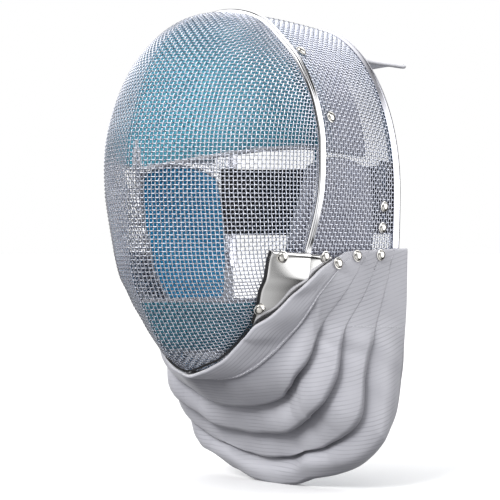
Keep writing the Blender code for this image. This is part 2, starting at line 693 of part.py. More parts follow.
def build_tongue():
    """Padded spring tongue: arched across, bent down behind the rim, with a round tip."""
    at = np.concatenate([np.linspace(0, 5, 13), 5 + np.sin(np.linspace(0, math.pi / 2, 6)[1:])])
    y, z = (cubic(np.arange(len(TONGUE_LINE)), TONGUE_LINE[:, k], at) for k in (0, 1))
    past = np.clip((y - y[-1] + TONGUE_TIP) / TONGUE_TIP, 0, 0.999)
    tip = np.sqrt(1 - past ** 2)
    around = np.linspace(0, 2 * math.pi, 13)[:-1]
    rows = []
    for k in range(len(at)):
        x = TONGUE_HALF_WIDTH * tip[k] * np.sign(np.cos(around)) * np.abs(np.cos(around)) ** 0.5
        thick = TONGUE_THICKNESS / 2 * max(tip[k], 0.35)
        arch = np.interp(y[k], [RIM_Y, 100], [TONGUE_RIM_ARCH, TONGUE_TIP_ARCH]) * (x / TONGUE_HALF_WIDTH) ** 2
        lift = thick * np.sign(np.sin(around)) * np.abs(np.sin(around)) ** 0.7
        rows.append(np.stack([x, y[k] + 0 * x, z[k] - arch + lift], -1))
    return grid_object("tongue", np.array(rows), tongue_cover, close=True)


def dome_mesh(name, finish):
    """Flattened dome standing on the plane, its flat underside down."""
    shape = bmesh.new()
    bmesh.ops.create_uvsphere(shape, u_segments=9, v_segments=6, radius=RIVET_RADIUS * MM)
    lower = [vert for vert in shape.verts if vert.co.z < -0.01 * MM]
    bmesh.ops.delete(shape, geom=lower, context="VERTS")
    bmesh.ops.holes_fill(shape, edges=[edge for edge in shape.edges if edge.is_boundary])
    bmesh.ops.scale(shape, vec=(1, 1, RIVET_HEIGHT / RIVET_RADIUS), verts=shape.verts)
    bmesh.ops.recalc_face_normals(shape, faces=shape.faces)
    mesh = bpy.data.meshes.new(name)
    shape.to_mesh(mesh)
    shape.free()
    mesh.shade_smooth()
    mesh.set_sharp_from_angle(angle=math.radians(50))
    mesh.materials.append(finish)
    return mesh


def build_rivets(carriers):
    """Each rivet stands on its carrier's outer face nearest to its place beside the wall, on both sides."""
    dome = dome_mesh("rivet", nickel)
    for name, carrier, y, height in RIVETS:
        beside = np.array([wall_x(y, height) + RIVET_STANDOFF, y, height])
        near, normal, face, distance = carriers[carrier].find_nearest(Vector(to_row(beside)))
        for side, word in ((1, "left"), (-1, "right")):
            piece = bpy.data.objects.new(f"{name}_{word}", dome)
            piece.location = (near + normal * RIVET_LIFT * MM) * Vector((side, 1, 1))
            facing = Vector((normal.x * side, normal.y, normal.z))
            piece.rotation_euler = facing.to_track_quat("Z", "Y").to_euler()
            mask.objects.link(piece)


for old in list(bpy.data.objects):
    bpy.data.objects.remove(old)

mask = bpy.data.collections.new("fencing_mask")
bpy.context.scene.collection.children.link(mask)

steel_mesh = material("steel_mesh", (0.62, 0.63, 0.66), 0.35, 0.9)
chrome = material("chrome", (0.80, 0.80, 0.82), 0.08, 1.0)
rim_steel = material("rim_steel", (0.66, 0.66, 0.72), 0.30, 0.9)
polished_steel = material("polished_steel", (0.72, 0.71, 0.70), 0.18, 1.0)
nickel = material("nickel", (0.74, 0.70, 0.64), 0.15, 1.0)
lame_cloth = material("lame_cloth", (0.50, 0.50, 0.54), 0.55, 0.3)
dark_binding = material("dark_binding", (0.02, 0.02, 0.02), 0.6, 0.0)
pad_lining = material("pad_lining", (0.05, 0.25, 0.42), 0.8, 0.0)
black_elastic = material("black_elastic", (0.015, 0.015, 0.017), 0.8, 0.0)
tongue_cover = material("tongue_cover", (0.72, 0.72, 0.74), 0.5, 0.0)


def main():
    build_seam_trim()
    build_face_mesh()
    side = build_side_mesh()
    build_rear_rim()
    plate = build_cheek_plate()
    bib = build_bib()
    build_jaw_seam()
    build_crown_pad()
    pad = build_side_pad()
    build_chin_pad()
    build_back_strap()
    build_tongue()
    build_rivets({"plate": tree_of(plate), "bib": tree_of(bib), "side": tree_of(side)})
    twin(plate, "cheek_plate_right")
    twin(pad, "side_pad_right")


main()
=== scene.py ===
"""Fencing mask, dressed: woven wire on bowl and side, chrome seam, steel plates, pleated bib and pads.

Sizes are in millimetres, heights from the level of the bib's top edge, the front towards -Y.
placed() turns them into the frame's metres.
"""
import math

import bmesh
import bpy
import numpy as np
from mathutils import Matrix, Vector


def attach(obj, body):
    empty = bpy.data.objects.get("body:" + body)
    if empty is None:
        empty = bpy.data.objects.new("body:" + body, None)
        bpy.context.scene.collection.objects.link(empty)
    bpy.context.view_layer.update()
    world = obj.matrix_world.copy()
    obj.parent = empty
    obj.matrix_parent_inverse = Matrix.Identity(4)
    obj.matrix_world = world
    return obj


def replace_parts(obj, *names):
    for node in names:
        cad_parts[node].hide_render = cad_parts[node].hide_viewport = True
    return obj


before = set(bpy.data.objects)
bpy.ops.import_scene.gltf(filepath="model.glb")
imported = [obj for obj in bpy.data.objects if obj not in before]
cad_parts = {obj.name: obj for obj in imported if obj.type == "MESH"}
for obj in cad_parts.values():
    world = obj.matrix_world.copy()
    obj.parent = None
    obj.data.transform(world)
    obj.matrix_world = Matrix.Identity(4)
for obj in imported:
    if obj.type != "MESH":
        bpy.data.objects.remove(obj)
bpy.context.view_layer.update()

MM = 0.001
HEAD_SEAT = 172.0
TINY = 1e-9
MIRROR = np.array([-1, 1, 1])
SIDES = (("left", 1), ("right", -1))

# Bowl from crown to chin, the seam behind it, the rear rim, and the height of the middle line of the head
CROWN = 188.0
CHIN = -96.0
SEAM_Y = -53.5
RIM_Y = 53.5
RIM_TOP = 184.0
RIM_HALF = 92.0
RIM_CENTRE = 48.5
RIM_DRAW_IN = 2.5
SIDE_FOOT = -14.0
SIDE_BULGE = 1.5
AXIS = 60.0

# Bowl sections: height, depth of the crease in front of the seam, half width, seam's Y, crease sharpness
BOWL = np.array([
    (188.0, 0.0, 0.0, -53.5, 0.25),
    (180.0, 38.0, 37.0, -53.5, 0.35),
    (162.0, 64.5, 59.3, -53.5, 0.50),
    (140.0, 82.0, 79.1, -53.5, 0.65),
    (107.0, 96.0, 94.7, -53.5, 0.75),
    (81.0, 103.0, 99.6, -53.5, 0.80),
    (64.0, 104.5, 99.8, -53.5, 0.80),
    (45.0, 104.5, 98.4, -53.5, 0.80),
    (30.0, 103.5, 95.2, -53.5, 0.80),
    (12.0, 102.5, 89.5, -53.5, 0.80),
    (0.0, 102.0, 85.5, -53.5, 0.85),
    (-20.0, 98.5, 82.5, -53.6, 1.5),
    (-32.0, 93.6, 76.0, -54.0, 2.6),
    (-43.0, 86.7, 71.0, -55.0, 3.4),
    (-53.0, 79.0, 62.0, -57.0, 4.0),
    (-62.0, 72.8, 55.0, -58.0, 4.0),
    (-73.0, 63.0, 44.5, -60.0, 4.0),
    (-81.0, 49.5, 37.0, -66.0, 4.0),
    (-87.5, 28.5, 27.0, -75.0, 4.0),
    (-93.0, 10.0, 14.0, -84.0, 4.0),
    (-96.0, 0.0, 0.0, -90.0, 4.0),
])[::-1]


# ---------------------------------------------------------------- numbers and curves

def unit(vectors):
    """Vectors brought to length one."""
    return vectors / (np.linalg.norm(vectors, axis=-1, keepdims=True) + TINY)


def soft_step(x):
    """From 0 to 1 as x does, level at both ends: 3x^2 - 2x^3."""
    x = np.clip(x, 0, 1)
    return x * x * (3 - 2 * x)


def quarter_circle(distance, radius):
    """Height over an edge that is rounded by a quarter circle, as a share of its radius."""
    return np.sqrt(np.clip(1 - (1 - np.clip(distance / radius, 0, 1)) ** 2, 0, 1))


def halved(low, high, inside, rounds):
    """Farthest value between low and high that is still inside, by halving the stretch between them."""
    for step in range(rounds):
        middle = (low + high) / 2
        within = inside(middle)
        low = np.where(within, middle, low)
        high = np.where(within, high, middle)
    return low


def cubic(x, y, at):
    """Monotone cubic through knots (x, y), along y's first axis: each knot's slope is the harmonic mean of the
    slopes beside it."""
    more = (1,) * (y.ndim - 1)
    step = np.diff(x).reshape(-1, *more)
    slope = np.diff(y, axis=0) / step
    pair = slope[:-1] * slope[1:]
    total = slope[:-1] + slope[1:]
    inner = np.where(pair > 0, 2 * pair / np.where(total == 0, 1, total), 0)
    knot = np.concatenate([slope[:1], inner, slope[-1:]])
    at = np.clip(np.asarray(at, float), x[0], x[-1])
    k = np.clip(np.searchsorted(x, at) - 1, 0, len(x) - 2)
    rise = step[k]
    t = (at - x[k]).reshape(*at.shape, *more) / rise
    return ((1 + 2 * t) * (1 - t) ** 2 * y[k] + t * (1 - t) ** 2 * rise * knot[k]
            + t * t * (3 - 2 * t) * y[k + 1] + t * t * (t - 1) * rise * knot[k + 1])


def arch_length(line):
    """Length along a line up to each of its points."""
    return np.concatenate([[0], np.cumsum(np.linalg.norm(np.diff(line, axis=0), axis=1))])


def spaced(line, at, values=None, beyond=None):
    """Points of a line, or values given at its points, at lengths along it, with beyond past its end."""
    length = arch_length(line)
    columns = (line if values is None else values).T
    return np.stack([np.interp(at, length, column, right=beyond) for column in columns], -1)


def evenly(line, count):
    """The line with count points a same length apart."""
    return spaced(line, np.linspace(0, arch_length(line)[-1], count))


def columns_at(grid, at):
    """Columns of a grid at places between its own, by straight steps."""
    low = np.clip(at.astype(int), 0, grid.shape[1] - 2)
    part = (at - low).reshape(-1, *(1,) * (grid.ndim - 2))
    return grid[:, low] * (1 - part) + grid[:, low + 1] * part


def whole(half, flip=MIRROR):
    """Grid of both sides from the left half's, whose first row lies on the middle plane."""
    return np.concatenate([(half * flip)[:0:-1], half])


# ---------------------------------------------------------------- bowl, side and rim

FINE_HEIGHT = np.linspace(CHIN, CROWN, 1500)
FINE_BOWL = cubic(BOWL[:, 0], BOWL[:, 1:] ** [2, 2, 1, 1], FINE_HEIGHT).T


def bowl_size(height):
    """Crease depth, half width, seam Y and crease sharpness at a height: depth and width are interpolated as
    squares, so that the bowl closes round at the crown and the chin."""
    depth, width, seam, sharp = (np.interp(height, FINE_HEIGHT, row) for row in FINE_BOWL)
    return np.sqrt(np.maximum(depth, 0)), np.sqrt(np.maximum(width, 0)), seam, sharp


def bowl_point(height, turn):
    """Ellipse cut off at the crease: x = width * ((1 + e) sin a - e), y = seam - depth * cos a / cos a0, where
    the angle a runs from a0 = asin(e / (1 + e)) on the crease (turn 0) to a right angle on the seam (turn 1)."""
    depth, width, seam, sharp = bowl_size(height)
    start = np.arcsin(sharp / (1 + sharp))
    angle = start + (math.pi / 2 - start) * turn
    return np.stack([width * ((1 + sharp) * np.sin(angle) - sharp),
                     seam - depth * np.cos(angle) / np.cos(start), height + 0 * turn], -1)


def round_share(sharp):
    """The cosine squared of the angle a0 at the crease."""
    return 1 - (sharp / (1 + sharp)) ** 2


def bowl_field(point):
    """Below zero inside the bowl: the cut ellipse's equation at the point's height, carried on past the seam and
    past the crease so that it is smooth there."""
    x, y, height = point[..., 0], point[..., 1], point[..., 2]
    depth, width, seam, sharp = bowl_size(height)
    across = (x / np.maximum(width, 0.01) + sharp) / (1 + sharp)
    ahead = (seam - y) / np.maximum(depth, 0.01)
    field = across ** 2 + round_share(sharp) * ahead ** 2 - 1
    return np.where((height > CROWN) | (height < CHIN), 9.0, field)


SEAM_HEIGHT = (CROWN + CHIN) / 2 + (CROWN - CHIN) / 2 * np.cos(np.linspace(0, math.pi, 3000))
SEAM_LINE = np.stack([bowl_size(SEAM_HEIGHT)[1], bowl_size(SEAM_HEIGHT)[2], SEAM_HEIGHT], -1)
SEAM_ARCH = SEAM_LINE[SEAM_LINE[:, 2] >= SIDE_FOOT]


def rim_line(count=600):
    """Half of the rear rim in its plane: a quarter ellipse over a leg that draws in by the square of its drop."""
    arc = np.linspace(0, math.pi / 2, count)
    drop = np.linspace(0, 1, count)[1:]
    x = np.concatenate([RIM_HALF * np.sin(arc), RIM_HALF - RIM_DRAW_IN * drop ** 2])
    z = np.concatenate([RIM_CENTRE + (RIM_TOP - RIM_CENTRE) * np.cos(arc),
                        RIM_CENTRE - (RIM_CENTRE - SIDE_FOOT) * drop])
    return np.stack([x, RIM_Y + 0 * x, z], -1)


RIM_ARCH = rim_line()


def side_point(turn, back):
    """Straight lines from the seam arch (back 0) to the rear rim (back 1), each at the same share (turn) of the
    two arches' lengths, bulging outward by SIDE_BULGE * sin(pi * back)."""
    share = np.abs(turn)
    front = spaced(SEAM_ARCH, share * arch_length(SEAM_ARCH)[-1])
    rear = spaced(RIM_ARCH, share * arch_length(RIM_ARCH)[-1])
    outward = unit(np.stack([front[..., 0], 0 * share, np.maximum(front[..., 2] - AXIS, 0)], -1))
    bulge = SIDE_BULGE * np.sin(math.pi * back)
    point = front + (rear - front) * back[..., None] + outward * bulge[..., None]
    point[..., 0] *= np.where(turn < 0, -1.0, 1.0)
    return point


def wall_x(y, height):
    """Half width of the wall: the bowl's cut ellipse ahead of the seam, a straight run to the rim behind."""
    depth, width, seam, sharp = bowl_size(height)
    forward = np.clip((seam - y) / np.maximum(depth, 0.001), 0, 1)
    ahead = width * ((1 + sharp) * np.sqrt(np.clip(1 - round_share(sharp) * forward ** 2, 0, 1)) - sharp)
    above = np.clip((height - RIM_CENTRE) / (RIM_TOP - RIM_CENTRE), 0, 1)
    rim = RIM_HALF * np.sqrt(1 - above ** 2)
    back = np.clip((y - seam) / (RIM_Y - seam), 0, 1)
    return np.where(y < seam, ahead, width + (rim - width) * back)


def wall_reach(y, angle):
    """Distance from the middle line of the head to the wall, at an angle from straight up, by halving."""
    def inside(reach):
        height = AXIS + reach * np.cos(angle)
        depth, width, seam, sharp = bowl_size(height)
        return (reach * np.abs(np.sin(angle)) < wall_x(y, height)) & (height < CROWN) & (y > seam - depth)

    start = 0 * angle + 0 * y
    return halved(start, start + 200, inside, 36)


# ---------------------------------------------------------------- meshes

def placed(points):
    """Millimetres over the bib's top edge as metres in the frame."""
    return (np.array(points, float) - [0, 0, HEAD_SEAT]) * MM


def mesh_piece(name, points, quads, material, uv=None):
    """Smooth mesh object from an array of points in millimetres and an array of four-sided faces, on the root."""
    mesh = bpy.data.meshes.new(name)
    flat = placed(points).reshape(-1, 3)
    quads = np.asarray(quads, np.int32).reshape(-1, 4)
    mesh.vertices.add(len(flat))
    mesh.vertices.foreach_set("co", flat.astype(np.float32).ravel())
    mesh.loops.add(quads.size)
    mesh.loops.foreach_set("vertex_index", quads.ravel())
    mesh.polygons.add(len(quads))
    mesh.polygons.foreach_set("loop_start", np.arange(0, quads.size, 4, dtype=np.int32))
    mesh.update(calc_edges=True)
    if uv is not None:
        layer = mesh.uv_layers.new(name="UVMap")
        layer.data.foreach_set("uv", np.asarray(uv, np.float32).reshape(-1, 2)[quads.ravel()].ravel())
    mesh.validate()
    mesh.shade_smooth()
    piece = bpy.data.objects.new(name, mesh)
    bpy.context.scene.collection.objects.link(piece)
    for each in material if isinstance(material, (list, tuple)) else [material]:
        mesh.materials.append(each)
    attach(piece, "root")
    return piece


def mended(piece, mend=None):
    """Run mend on the piece's mesh, then turn its faces outwards and shade it smooth."""
    shape = bmesh.new()
    shape.from_mesh(piece.data)
    if mend:
        mend(shape)
    bmesh.ops.recalc_face_normals(shape, faces=shape.faces)
    shape.to_mesh(piece.data)
    shape.free()
    piece.data.shade_smooth()
    return piece


WELD_ROOM = 0.004


def weld(shape):
    """Merge doubled points, so that poles and seams are closed, and drop faces left with no area."""
    bmesh.ops.remove_doubles(shape, verts=shape.verts, dist=WELD_ROOM * MM)
    bmesh.ops.dissolve_degenerate(shape, edges=shape.edges, dist=WELD_ROOM * MM)


def fill_holes(shape):
    """Close each open end with one face."""
    bmesh.ops.holes_fill(shape, edges=[edge for edge in shape.edges if edge.is_boundary])


def sharp_edges(piece, degrees):
    """Keep the edges crisp where the faces beside them turn by more than the angle."""
    piece.data.set_sharp_from_angle(angle=math.radians(degrees))


def grid_quads(rows, columns, wrap=False):
    """Faces of a grid of points, with its last column joined to the first where it wraps."""
    index = np.arange(rows * columns).reshape(rows, columns)
    after = np.roll(index, -1, axis=1) if wrap else index[:, 1:]
    here = index if wrap else index[:, :-1]
    return np.stack([here[:-1], here[1:], after[1:], after[:-1]], -1).reshape(-1, 4)


def ringed(name, rings, material):
    """Tube over rings of points."""
    return mended(mesh_piece(name, rings, grid_quads(*rings.shape[:2], wrap=True), material), weld)


def closed_tube(name, rings, material):
    """Tube over rings of points, each end drawn in to the middle of its ring so that it is shut."""
    first, last = (end.mean(axis=1, keepdims=True) + 0 * end for end in (rings[:1], rings[-1:]))
    return ringed(name, np.concatenate([first, rings, last]), material)


def carried(path, outward, axial, profile):
    """Profile of (outward, axial) offsets carried along a path: one profile for all its points or one each."""
    profile = np.array(profile, float)
    offsets = np.broadcast_to(profile, (len(path), *profile.shape[-2:]))
    return path[:, None] + offsets[..., :1] * outward[:, None] + offsets[..., 1:] * axial[:, None]


def round_section(radius, sides):
    """Corners of a round profile."""
    turn = np.linspace(0, 2 * math.pi, sides + 1)[:-1]
    return radius * np.stack([np.cos(turn), np.sin(turn)], -1)


def around_edge(grid):
    """The grid's outermost points, once round."""
    return np.concatenate([grid[0, :-1], grid[:-1, -1], grid[-1, :0:-1], grid[:0:-1, 0]])


def shell_piece(name, outer, inner, material, uv=None, inner_material=0):
    """Closed shell of an outer and an inner grid of points, joined all round their edges."""
    rows, columns = outer.shape[:2]
    count = rows * columns
    front = grid_quads(rows, columns)
    edge = around_edge(np.arange(count).reshape(rows, columns))
    after = np.roll(edge, -1)
    ring = np.stack([edge, after, after + count, edge + count], -1)
    points = np.concatenate([outer.reshape(-1, 3), inner.reshape(-1, 3)])
    both = None if uv is None else np.tile(uv.reshape(-1, 2), (2, 1))
    piece = mesh_piece(name, points, np.concatenate([front, front[:, ::-1] + count, ring]), material, uv=both)
    kinds = np.repeat([0, inner_material, 0], [len(front), len(front), len(ring)])
    piece.data.polygons.foreach_set("material_index", kinds.astype(np.int32))
    return mended(piece)


def sheet_out(points):
    """Outward unit normal of a grid of points, away from the middle line of the head."""
    out = unit(np.cross(np.gradient(points, axis=0), np.gradient(points, axis=1)))
    return out * np.sign((out * (points - [0, 0, AXIS])).sum(-1))[..., None]


# ---------------------------------------------------------------- woven wire

PITCH = 3.1
WIRE_RADIUS = 0.5
WIRE_SIDES = 4
WEAVE_DEPTH = 0.92


def interleaved(nodes, between):
    """Rows of nodes with the places between them."""
    out = np.empty((nodes.shape[0], 2 * nodes.shape[1] - 1, *nodes.shape[2:]), nodes.dtype)
    out[:, ::2] = nodes
    out[:, 1::2] = between
    return out


def shifted(marks, step):
    """Marks moved one place along each row, step 1 or -1, with none where they come from outside."""
    out = np.roll(marks, step, axis=1)
    out[:, 0 if step == 1 else -1] = False
    return out


def wire_tubes(name, nodes, valid, normals, parity, material):
    """Wires along the second axis of a net of nodes: at each crossing a wire lies a radius outside or inside the
    surface by turns (plain weave), half-way between crossings on it, with a four-sided ring at each of these."""
    over = (np.add.outer(np.arange(nodes.shape[0]), np.arange(nodes.shape[1])) + parity) % 2 == 0
    knot = nodes + normals * (np.where(over, 1.0, -1.0) * WIRE_RADIUS * WEAVE_DEPTH)[..., None]
    line = interleaved(knot, (nodes[:, :-1] + nodes[:, 1:]) / 2)
    away = interleaved(normals, normals[:, :-1] + normals[:, 1:])
    real = interleaved(valid, valid[:, :-1] & valid[:, 1:])
    real &= shifted(real, 1) | shifted(real, -1)
    before = np.where(shifted(real, 1)[..., None], np.roll(line, 1, axis=1), line)
    after = np.where(shifted(real, -1)[..., None], np.roll(line, -1, axis=1), line)
    along = unit(after - before)
    side = unit(np.cross(away, along))
    up = np.cross(along, side)
    angle = (np.arange(WIRE_SIDES) + 0.5) * 2 * math.pi / WIRE_SIDES
    ring = line[:, :, None] + WIRE_RADIUS * (np.cos(angle)[:, None] * up[:, :, None]
                                             + np.sin(angle)[:, None] * side[:, :, None])
    start = (np.cumsum(real.ravel()).reshape(real.shape) - 1) * WIRE_SIDES
    k = np.arange(WIRE_SIDES)
    beside = np.roll(k, -1)
    joined = real[:, :-1] & real[:, 1:]
    low = start[:, :-1][joined][:, None]
    high = start[:, 1:][joined][:, None]
    walls = np.stack([low + k, low + beside, high + beside, high + k], -1).reshape(-1, 4)
    opens = real & ~shifted(real, 1)
    ends = real & ~shifted(real, -1)
    caps = np.concatenate([start[opens][:, None] + k[::-1], start[ends][:, None] + k])
    return mesh_piece(name, ring[real].reshape(-1, 3), np.concatenate([walls, caps])[:, ::-1], material)


def cut_at(nodes, room):
    """For each wire along the second axis: which nodes have room, with the first node past the edge drawn back on
    to it. room is a function that is positive inside."""
    left = room(nodes)
    known = np.isfinite(nodes[..., 0])
    inside = known & (left > 0)
    out = nodes.copy()
    valid = inside.copy()
    for step in (1, -1):
        last = shifted(inside, step) & known & ~inside
        inner = np.roll(nodes, step, axis=1)
        there = np.roll(left, step, axis=1)
        share = there / np.where(np.abs(there - left) < TINY, 1, there - left)
        out = np.where(last[..., None], inner + (nodes - inner) * np.clip(share, 0.02, 1)[..., None], out)
        valid |= last
    return out, valid


# The bowl is looked up by the direction in which it is seen from a point inside it
BOWL_EYE = np.array([0.0, -50.0, 45.0])
TABLE_STEP = 0.01
TABLE_A = np.arange(-0.2, 2.3, TABLE_STEP)
TABLE_B = np.arange(-2.3, 2.3, TABLE_STEP)
SLOPE_STEP = 0.02


def direction(a, b):
    """Unit vectors about -Y: the pair (a, b) is an angle from -Y, split between X and Z."""
    theta = np.hypot(a, b)
    share = np.sinc(theta / math.pi)
    return np.stack([a * share, -np.cos(theta), b * share], -1)


def bowl_table():
    """Distance from BOWL_EYE to the bowl in each direction, by halving."""
    ray = direction(*np.meshgrid(TABLE_A, TABLE_B, indexing="ij"))
    start = np.full(ray.shape[:2], 5.0)
    return halved(start, start + 255.0, lambda reach: bowl_field(BOWL_EYE + reach[..., None] * ray) < 0, 34)


BOWL_REACH = bowl_table()


def eye_point(at):
    """Point of the bowl in the direction at = (a, b), from the table by straight steps both ways."""
    place = (at - [TABLE_A[0], TABLE_B[0]]) / TABLE_STEP
    place = np.clip(np.nan_to_num(place), 0, [len(TABLE_A) - 1.001, len(TABLE_B) - 1.001])
    low = place.astype(int)
    part = place - low
    i, j = low[..., 0], low[..., 1]
    p, q = part[..., 0], part[..., 1]
    reach = ((BOWL_REACH[i, j] * (1 - p) + BOWL_REACH[i + 1, j] * p) * (1 - q)
             + (BOWL_REACH[i, j + 1] * (1 - p) + BOWL_REACH[i + 1, j + 1] * p) * q)
    return BOWL_EYE + reach[..., None] * direction(at[..., 0], at[..., 1])


def eye_direction(point):
    """The (a, b) of a point seen from BOWL_EYE."""
    ray = point - BOWL_EYE
    ray = ray / np.linalg.norm(ray, axis=-1)[..., None]
    theta = np.arccos(np.clip(-ray[..., 1], -1, 1))
    flat = np.hypot(ray[..., 0], ray[..., 2]) + TINY
    return np.stack([theta * ray[..., 0] / flat, theta * ray[..., 2] / flat], -1)


def eye_normal(at):
    """Outward unit normal of the bowl in a direction: the cross product of its slopes there."""
    over, up = (eye_point(at + step) - eye_point(at - step) for step in SLOPE_STEP * np.eye(2))
    normal = unit(np.cross(over, up))
    return normal * np.sign((normal * (eye_point(at) - BOWL_EYE)).sum(-1))[..., None]


NET_ROWS = 84
NET_COLUMNS = 78
NET_REACH = 2.25
NET_END = 2.15
LONGEST_STEP = 0.03
MISS_ALLOWED = 0.05
LINE_FINE = 4000


def first_column(up, count):
    """Directions of points a pitch apart along the flank of the crease, half a pitch from the middle plane."""
    b = np.linspace(0, NET_REACH * up, LINE_FINE)
    a = 0 * b
    for step in range(8):
        reach = np.linalg.norm(eye_point(np.stack([a, b], -1)) - BOWL_EYE, axis=-1)
        a = PITCH / 2 / (reach * np.sinc(np.hypot(a, b) / math.pi))
    line = np.stack([a, b], -1)
    return spaced(eye_point(line), np.arange(count) * PITCH, line, np.nan)


def first_row(count):
    """Directions of points a pitch apart along the level of BOWL_EYE, from the flank of the crease outward."""
    start = first_column(1, 1)[0]
    line = np.stack([np.linspace(start[0], NET_REACH, LINE_FINE), np.full(LINE_FINE, start[1])], -1)
    return spaced(eye_point(line), np.arange(count) * PITCH, line, np.nan)


def net_quarter(up):
    """Net of equal sides on the bowl, as flat woven wire takes when it is drawn over a form: each new node lies
    one pitch from the node before it in its row and in its column, found by Newton's method."""
    net = np.full((NET_ROWS, NET_COLUMNS, 2), np.nan)
    net[:, 0] = first_column(up, NET_ROWS)
    net[0] = first_row(NET_COLUMNS)
    step = 0.003
    for total in range(2, NET_ROWS + NET_COLUMNS - 1):
        i = np.arange(max(1, total - NET_COLUMNS + 1), min(NET_ROWS, total))
        j = total - i
        left = net[i, j - 1]
        below = net[i - 1, j]
        start = left + below - net[i - 1, j - 1]
        good = np.isfinite(start).all(-1) & (np.hypot(start[:, 0], start[:, 1]) < NET_END)
        if not good.any():
            continue
        ends = eye_point(left[good]), eye_point(below[good])

        def miss(at):
            point = eye_point(at)
            return np.stack([np.linalg.norm(point - end, axis=-1) - PITCH for end in ends], -1)

        at = start[good]
        for turn in range(8):
            now = miss(at)
            by_a, by_b = ((miss(at + move) - miss(at - move)) / (2 * step) for move in step * np.eye(2))
            size = by_a[:, 0] * by_b[:, 1] - by_a[:, 1] * by_b[:, 0]
            size = np.where(np.abs(size) < 1e-6, np.nan, size)
            move_a = (now[:, 0] * by_b[:, 1] - now[:, 1] * by_b[:, 0]) / size
            move_b = (by_a[:, 0] * now[:, 1] - by_a[:, 1] * now[:, 0]) / size
            at = at - np.clip(np.stack([move_a, move_b], -1), -LONGEST_STEP, LONGEST_STEP)
        fits = np.abs(miss(at)).max(-1) < MISS_ALLOWED * PITCH
        net[i[good], j[good]] = np.where(fits[:, None], at, np.nan)
    return net


def face_net():
    """Nodes of the whole face mesh and the bowl's outward directions there: rows up, columns across."""
    half = np.concatenate([net_quarter(-1)[:0:-1], net_quarter(1)])
    known = np.isfinite(half).all(-1)[..., None]
    at = np.nan_to_num(half)
    nodes = np.where(known, eye_point(at), np.nan)
    out = np.where(known, eye_normal(at), 0)
    return [np.concatenate([(part * MIRROR)[:, ::-1], part], axis=1) for part in (nodes, out)]


# Wires end this far behind the middle of the seam, under its strip, and this far ahead of the rim, in its band
UNDER_STRIP = 0.6
IN_RIM = 5.5


def seam_room(nodes):
    """How far a place lies in front of the wires' ends under the seam strip."""
    return bowl_size(np.nan_to_num(nodes[..., 2]))[2] + UNDER_STRIP - np.nan_to_num(nodes[..., 1])


def build_face_wires(material):
    """Wires across and down the bowl, each set in two pieces, cut off under the seam strip."""
    nodes, out = face_net()
    pieces = []
    for word, order, first in (("across", (0, 1, 2), 0), ("down", (1, 0, 2), 1)):
        grid, away = nodes.transpose(order), out.transpose(order)
        cut, valid = cut_at(grid, seam_room)
        cut = np.where(valid[..., None], cut, 0)
        middle = len(grid) // 2
        for part, start, end in (("a", 0, middle), ("b", middle, len(grid))):
            rows = slice(start, end)
            name = f"face_wires_{word}_{part}"
            pieces.append(wire_tubes(name, cut[rows], valid[rows], away[rows], first + start, material))
    return pieces


def build_side_wires(material):
    """Woven band between the seam strip and the rim: one set of wires along the arch, one from front to back."""
    half = (arch_length(SEAM_ARCH)[-1] + arch_length(RIM_ARCH)[-1]) / 2
    turns = np.linspace(-1, 1, 2 * round(half / PITCH) + 1)
    span = RIM_Y - SEAM_Y
    count = round((span - UNDER_STRIP - IN_RIM) / PITCH) + 1
    backs = np.linspace(UNDER_STRIP / span, (span - IN_RIM) / span, count)
    nodes = side_point(*np.meshgrid(turns, backs, indexing="ij"))
    out = sheet_out(nodes)
    valid = np.ones(nodes.shape[:2], bool)
    turned, turned_out = nodes.transpose(1, 0, 2), out.transpose(1, 0, 2)
    return [wire_tubes("side_wires_back", nodes, valid, out, 0, material),
            wire_tubes("side_wires_arch", turned, valid.T, turned_out, 1, material)]


# ---------------------------------------------------------------- steel

# Seam strip: section as shares of its height over the mesh and of its half width, front edge first
STRIP_SECTION = np.array([
    (1.0, 1.0), (0.97, 0.94), (1.0, 0.2), (0.99, -0.02), (0.9, -0.1), (0.9, -0.18), (1.0, -0.27), (0.98, -0.5),
    (0.88, -0.76), (0.68, -0.94), (0.4, -1.0), (0.0, -1.02), (-0.5, -0.98), (-0.86, -0.8), (-1.02, -0.45),
    (-1.06, 0.1), (-1.06, 0.97), (-1.0, 1.0), (0.0, 1.0)])
STRIP_PROUD = 3.4
STRIP_INWARD = 3.6
STRIP_HALF_WIDTH = 3.0
# Fall of the strip's height where the plates and the bib cover it, and again at the chin: how much, from which
# height down, over what stretch
STRIP_COVERED = (1.9, -12.0, 14.0)
STRIP_AT_CHIN = (1.3, -72.0, 12.0)

# Rim band: section as offsets from the middle of the band, outward and to the rear
RIM_SECTION = [
    (1.5, -4.5), (2.05, -4.35), (2.15, -3.9), (2.15, 0.6), (2.35, 1.0), (2.6, 1.6), (2.6, 2.1), (2.3, 2.8),
    (2.15, 3.2), (1.9, 3.9), (1.2, 4.4), (0.0, 4.5), (-1.2, 4.4), (-1.9, 3.9), (-2.15, 3.2), (-2.15, -3.9),
    (-2.05, -4.35), (-1.5, -4.5), (0.0, -4.3)]
RIM_HALF_BAND = 4.5


def fall(height, amount, start, over):
    """Straight fall from nothing to an amount, below a height."""
    return amount * np.clip((start - height) / over, 0, 1)


def arch_frame(path, ends):
    """Unit directions along an arch, with those of its end points given, and outward in the arch's plane."""
    along = np.gradient(path, axis=0)
    for at, value in ends:
        along[at] = value
    along = unit(along)
    return along, np.stack([-along[:, 2], 0 * along[:, 0], along[:, 0]], -1)


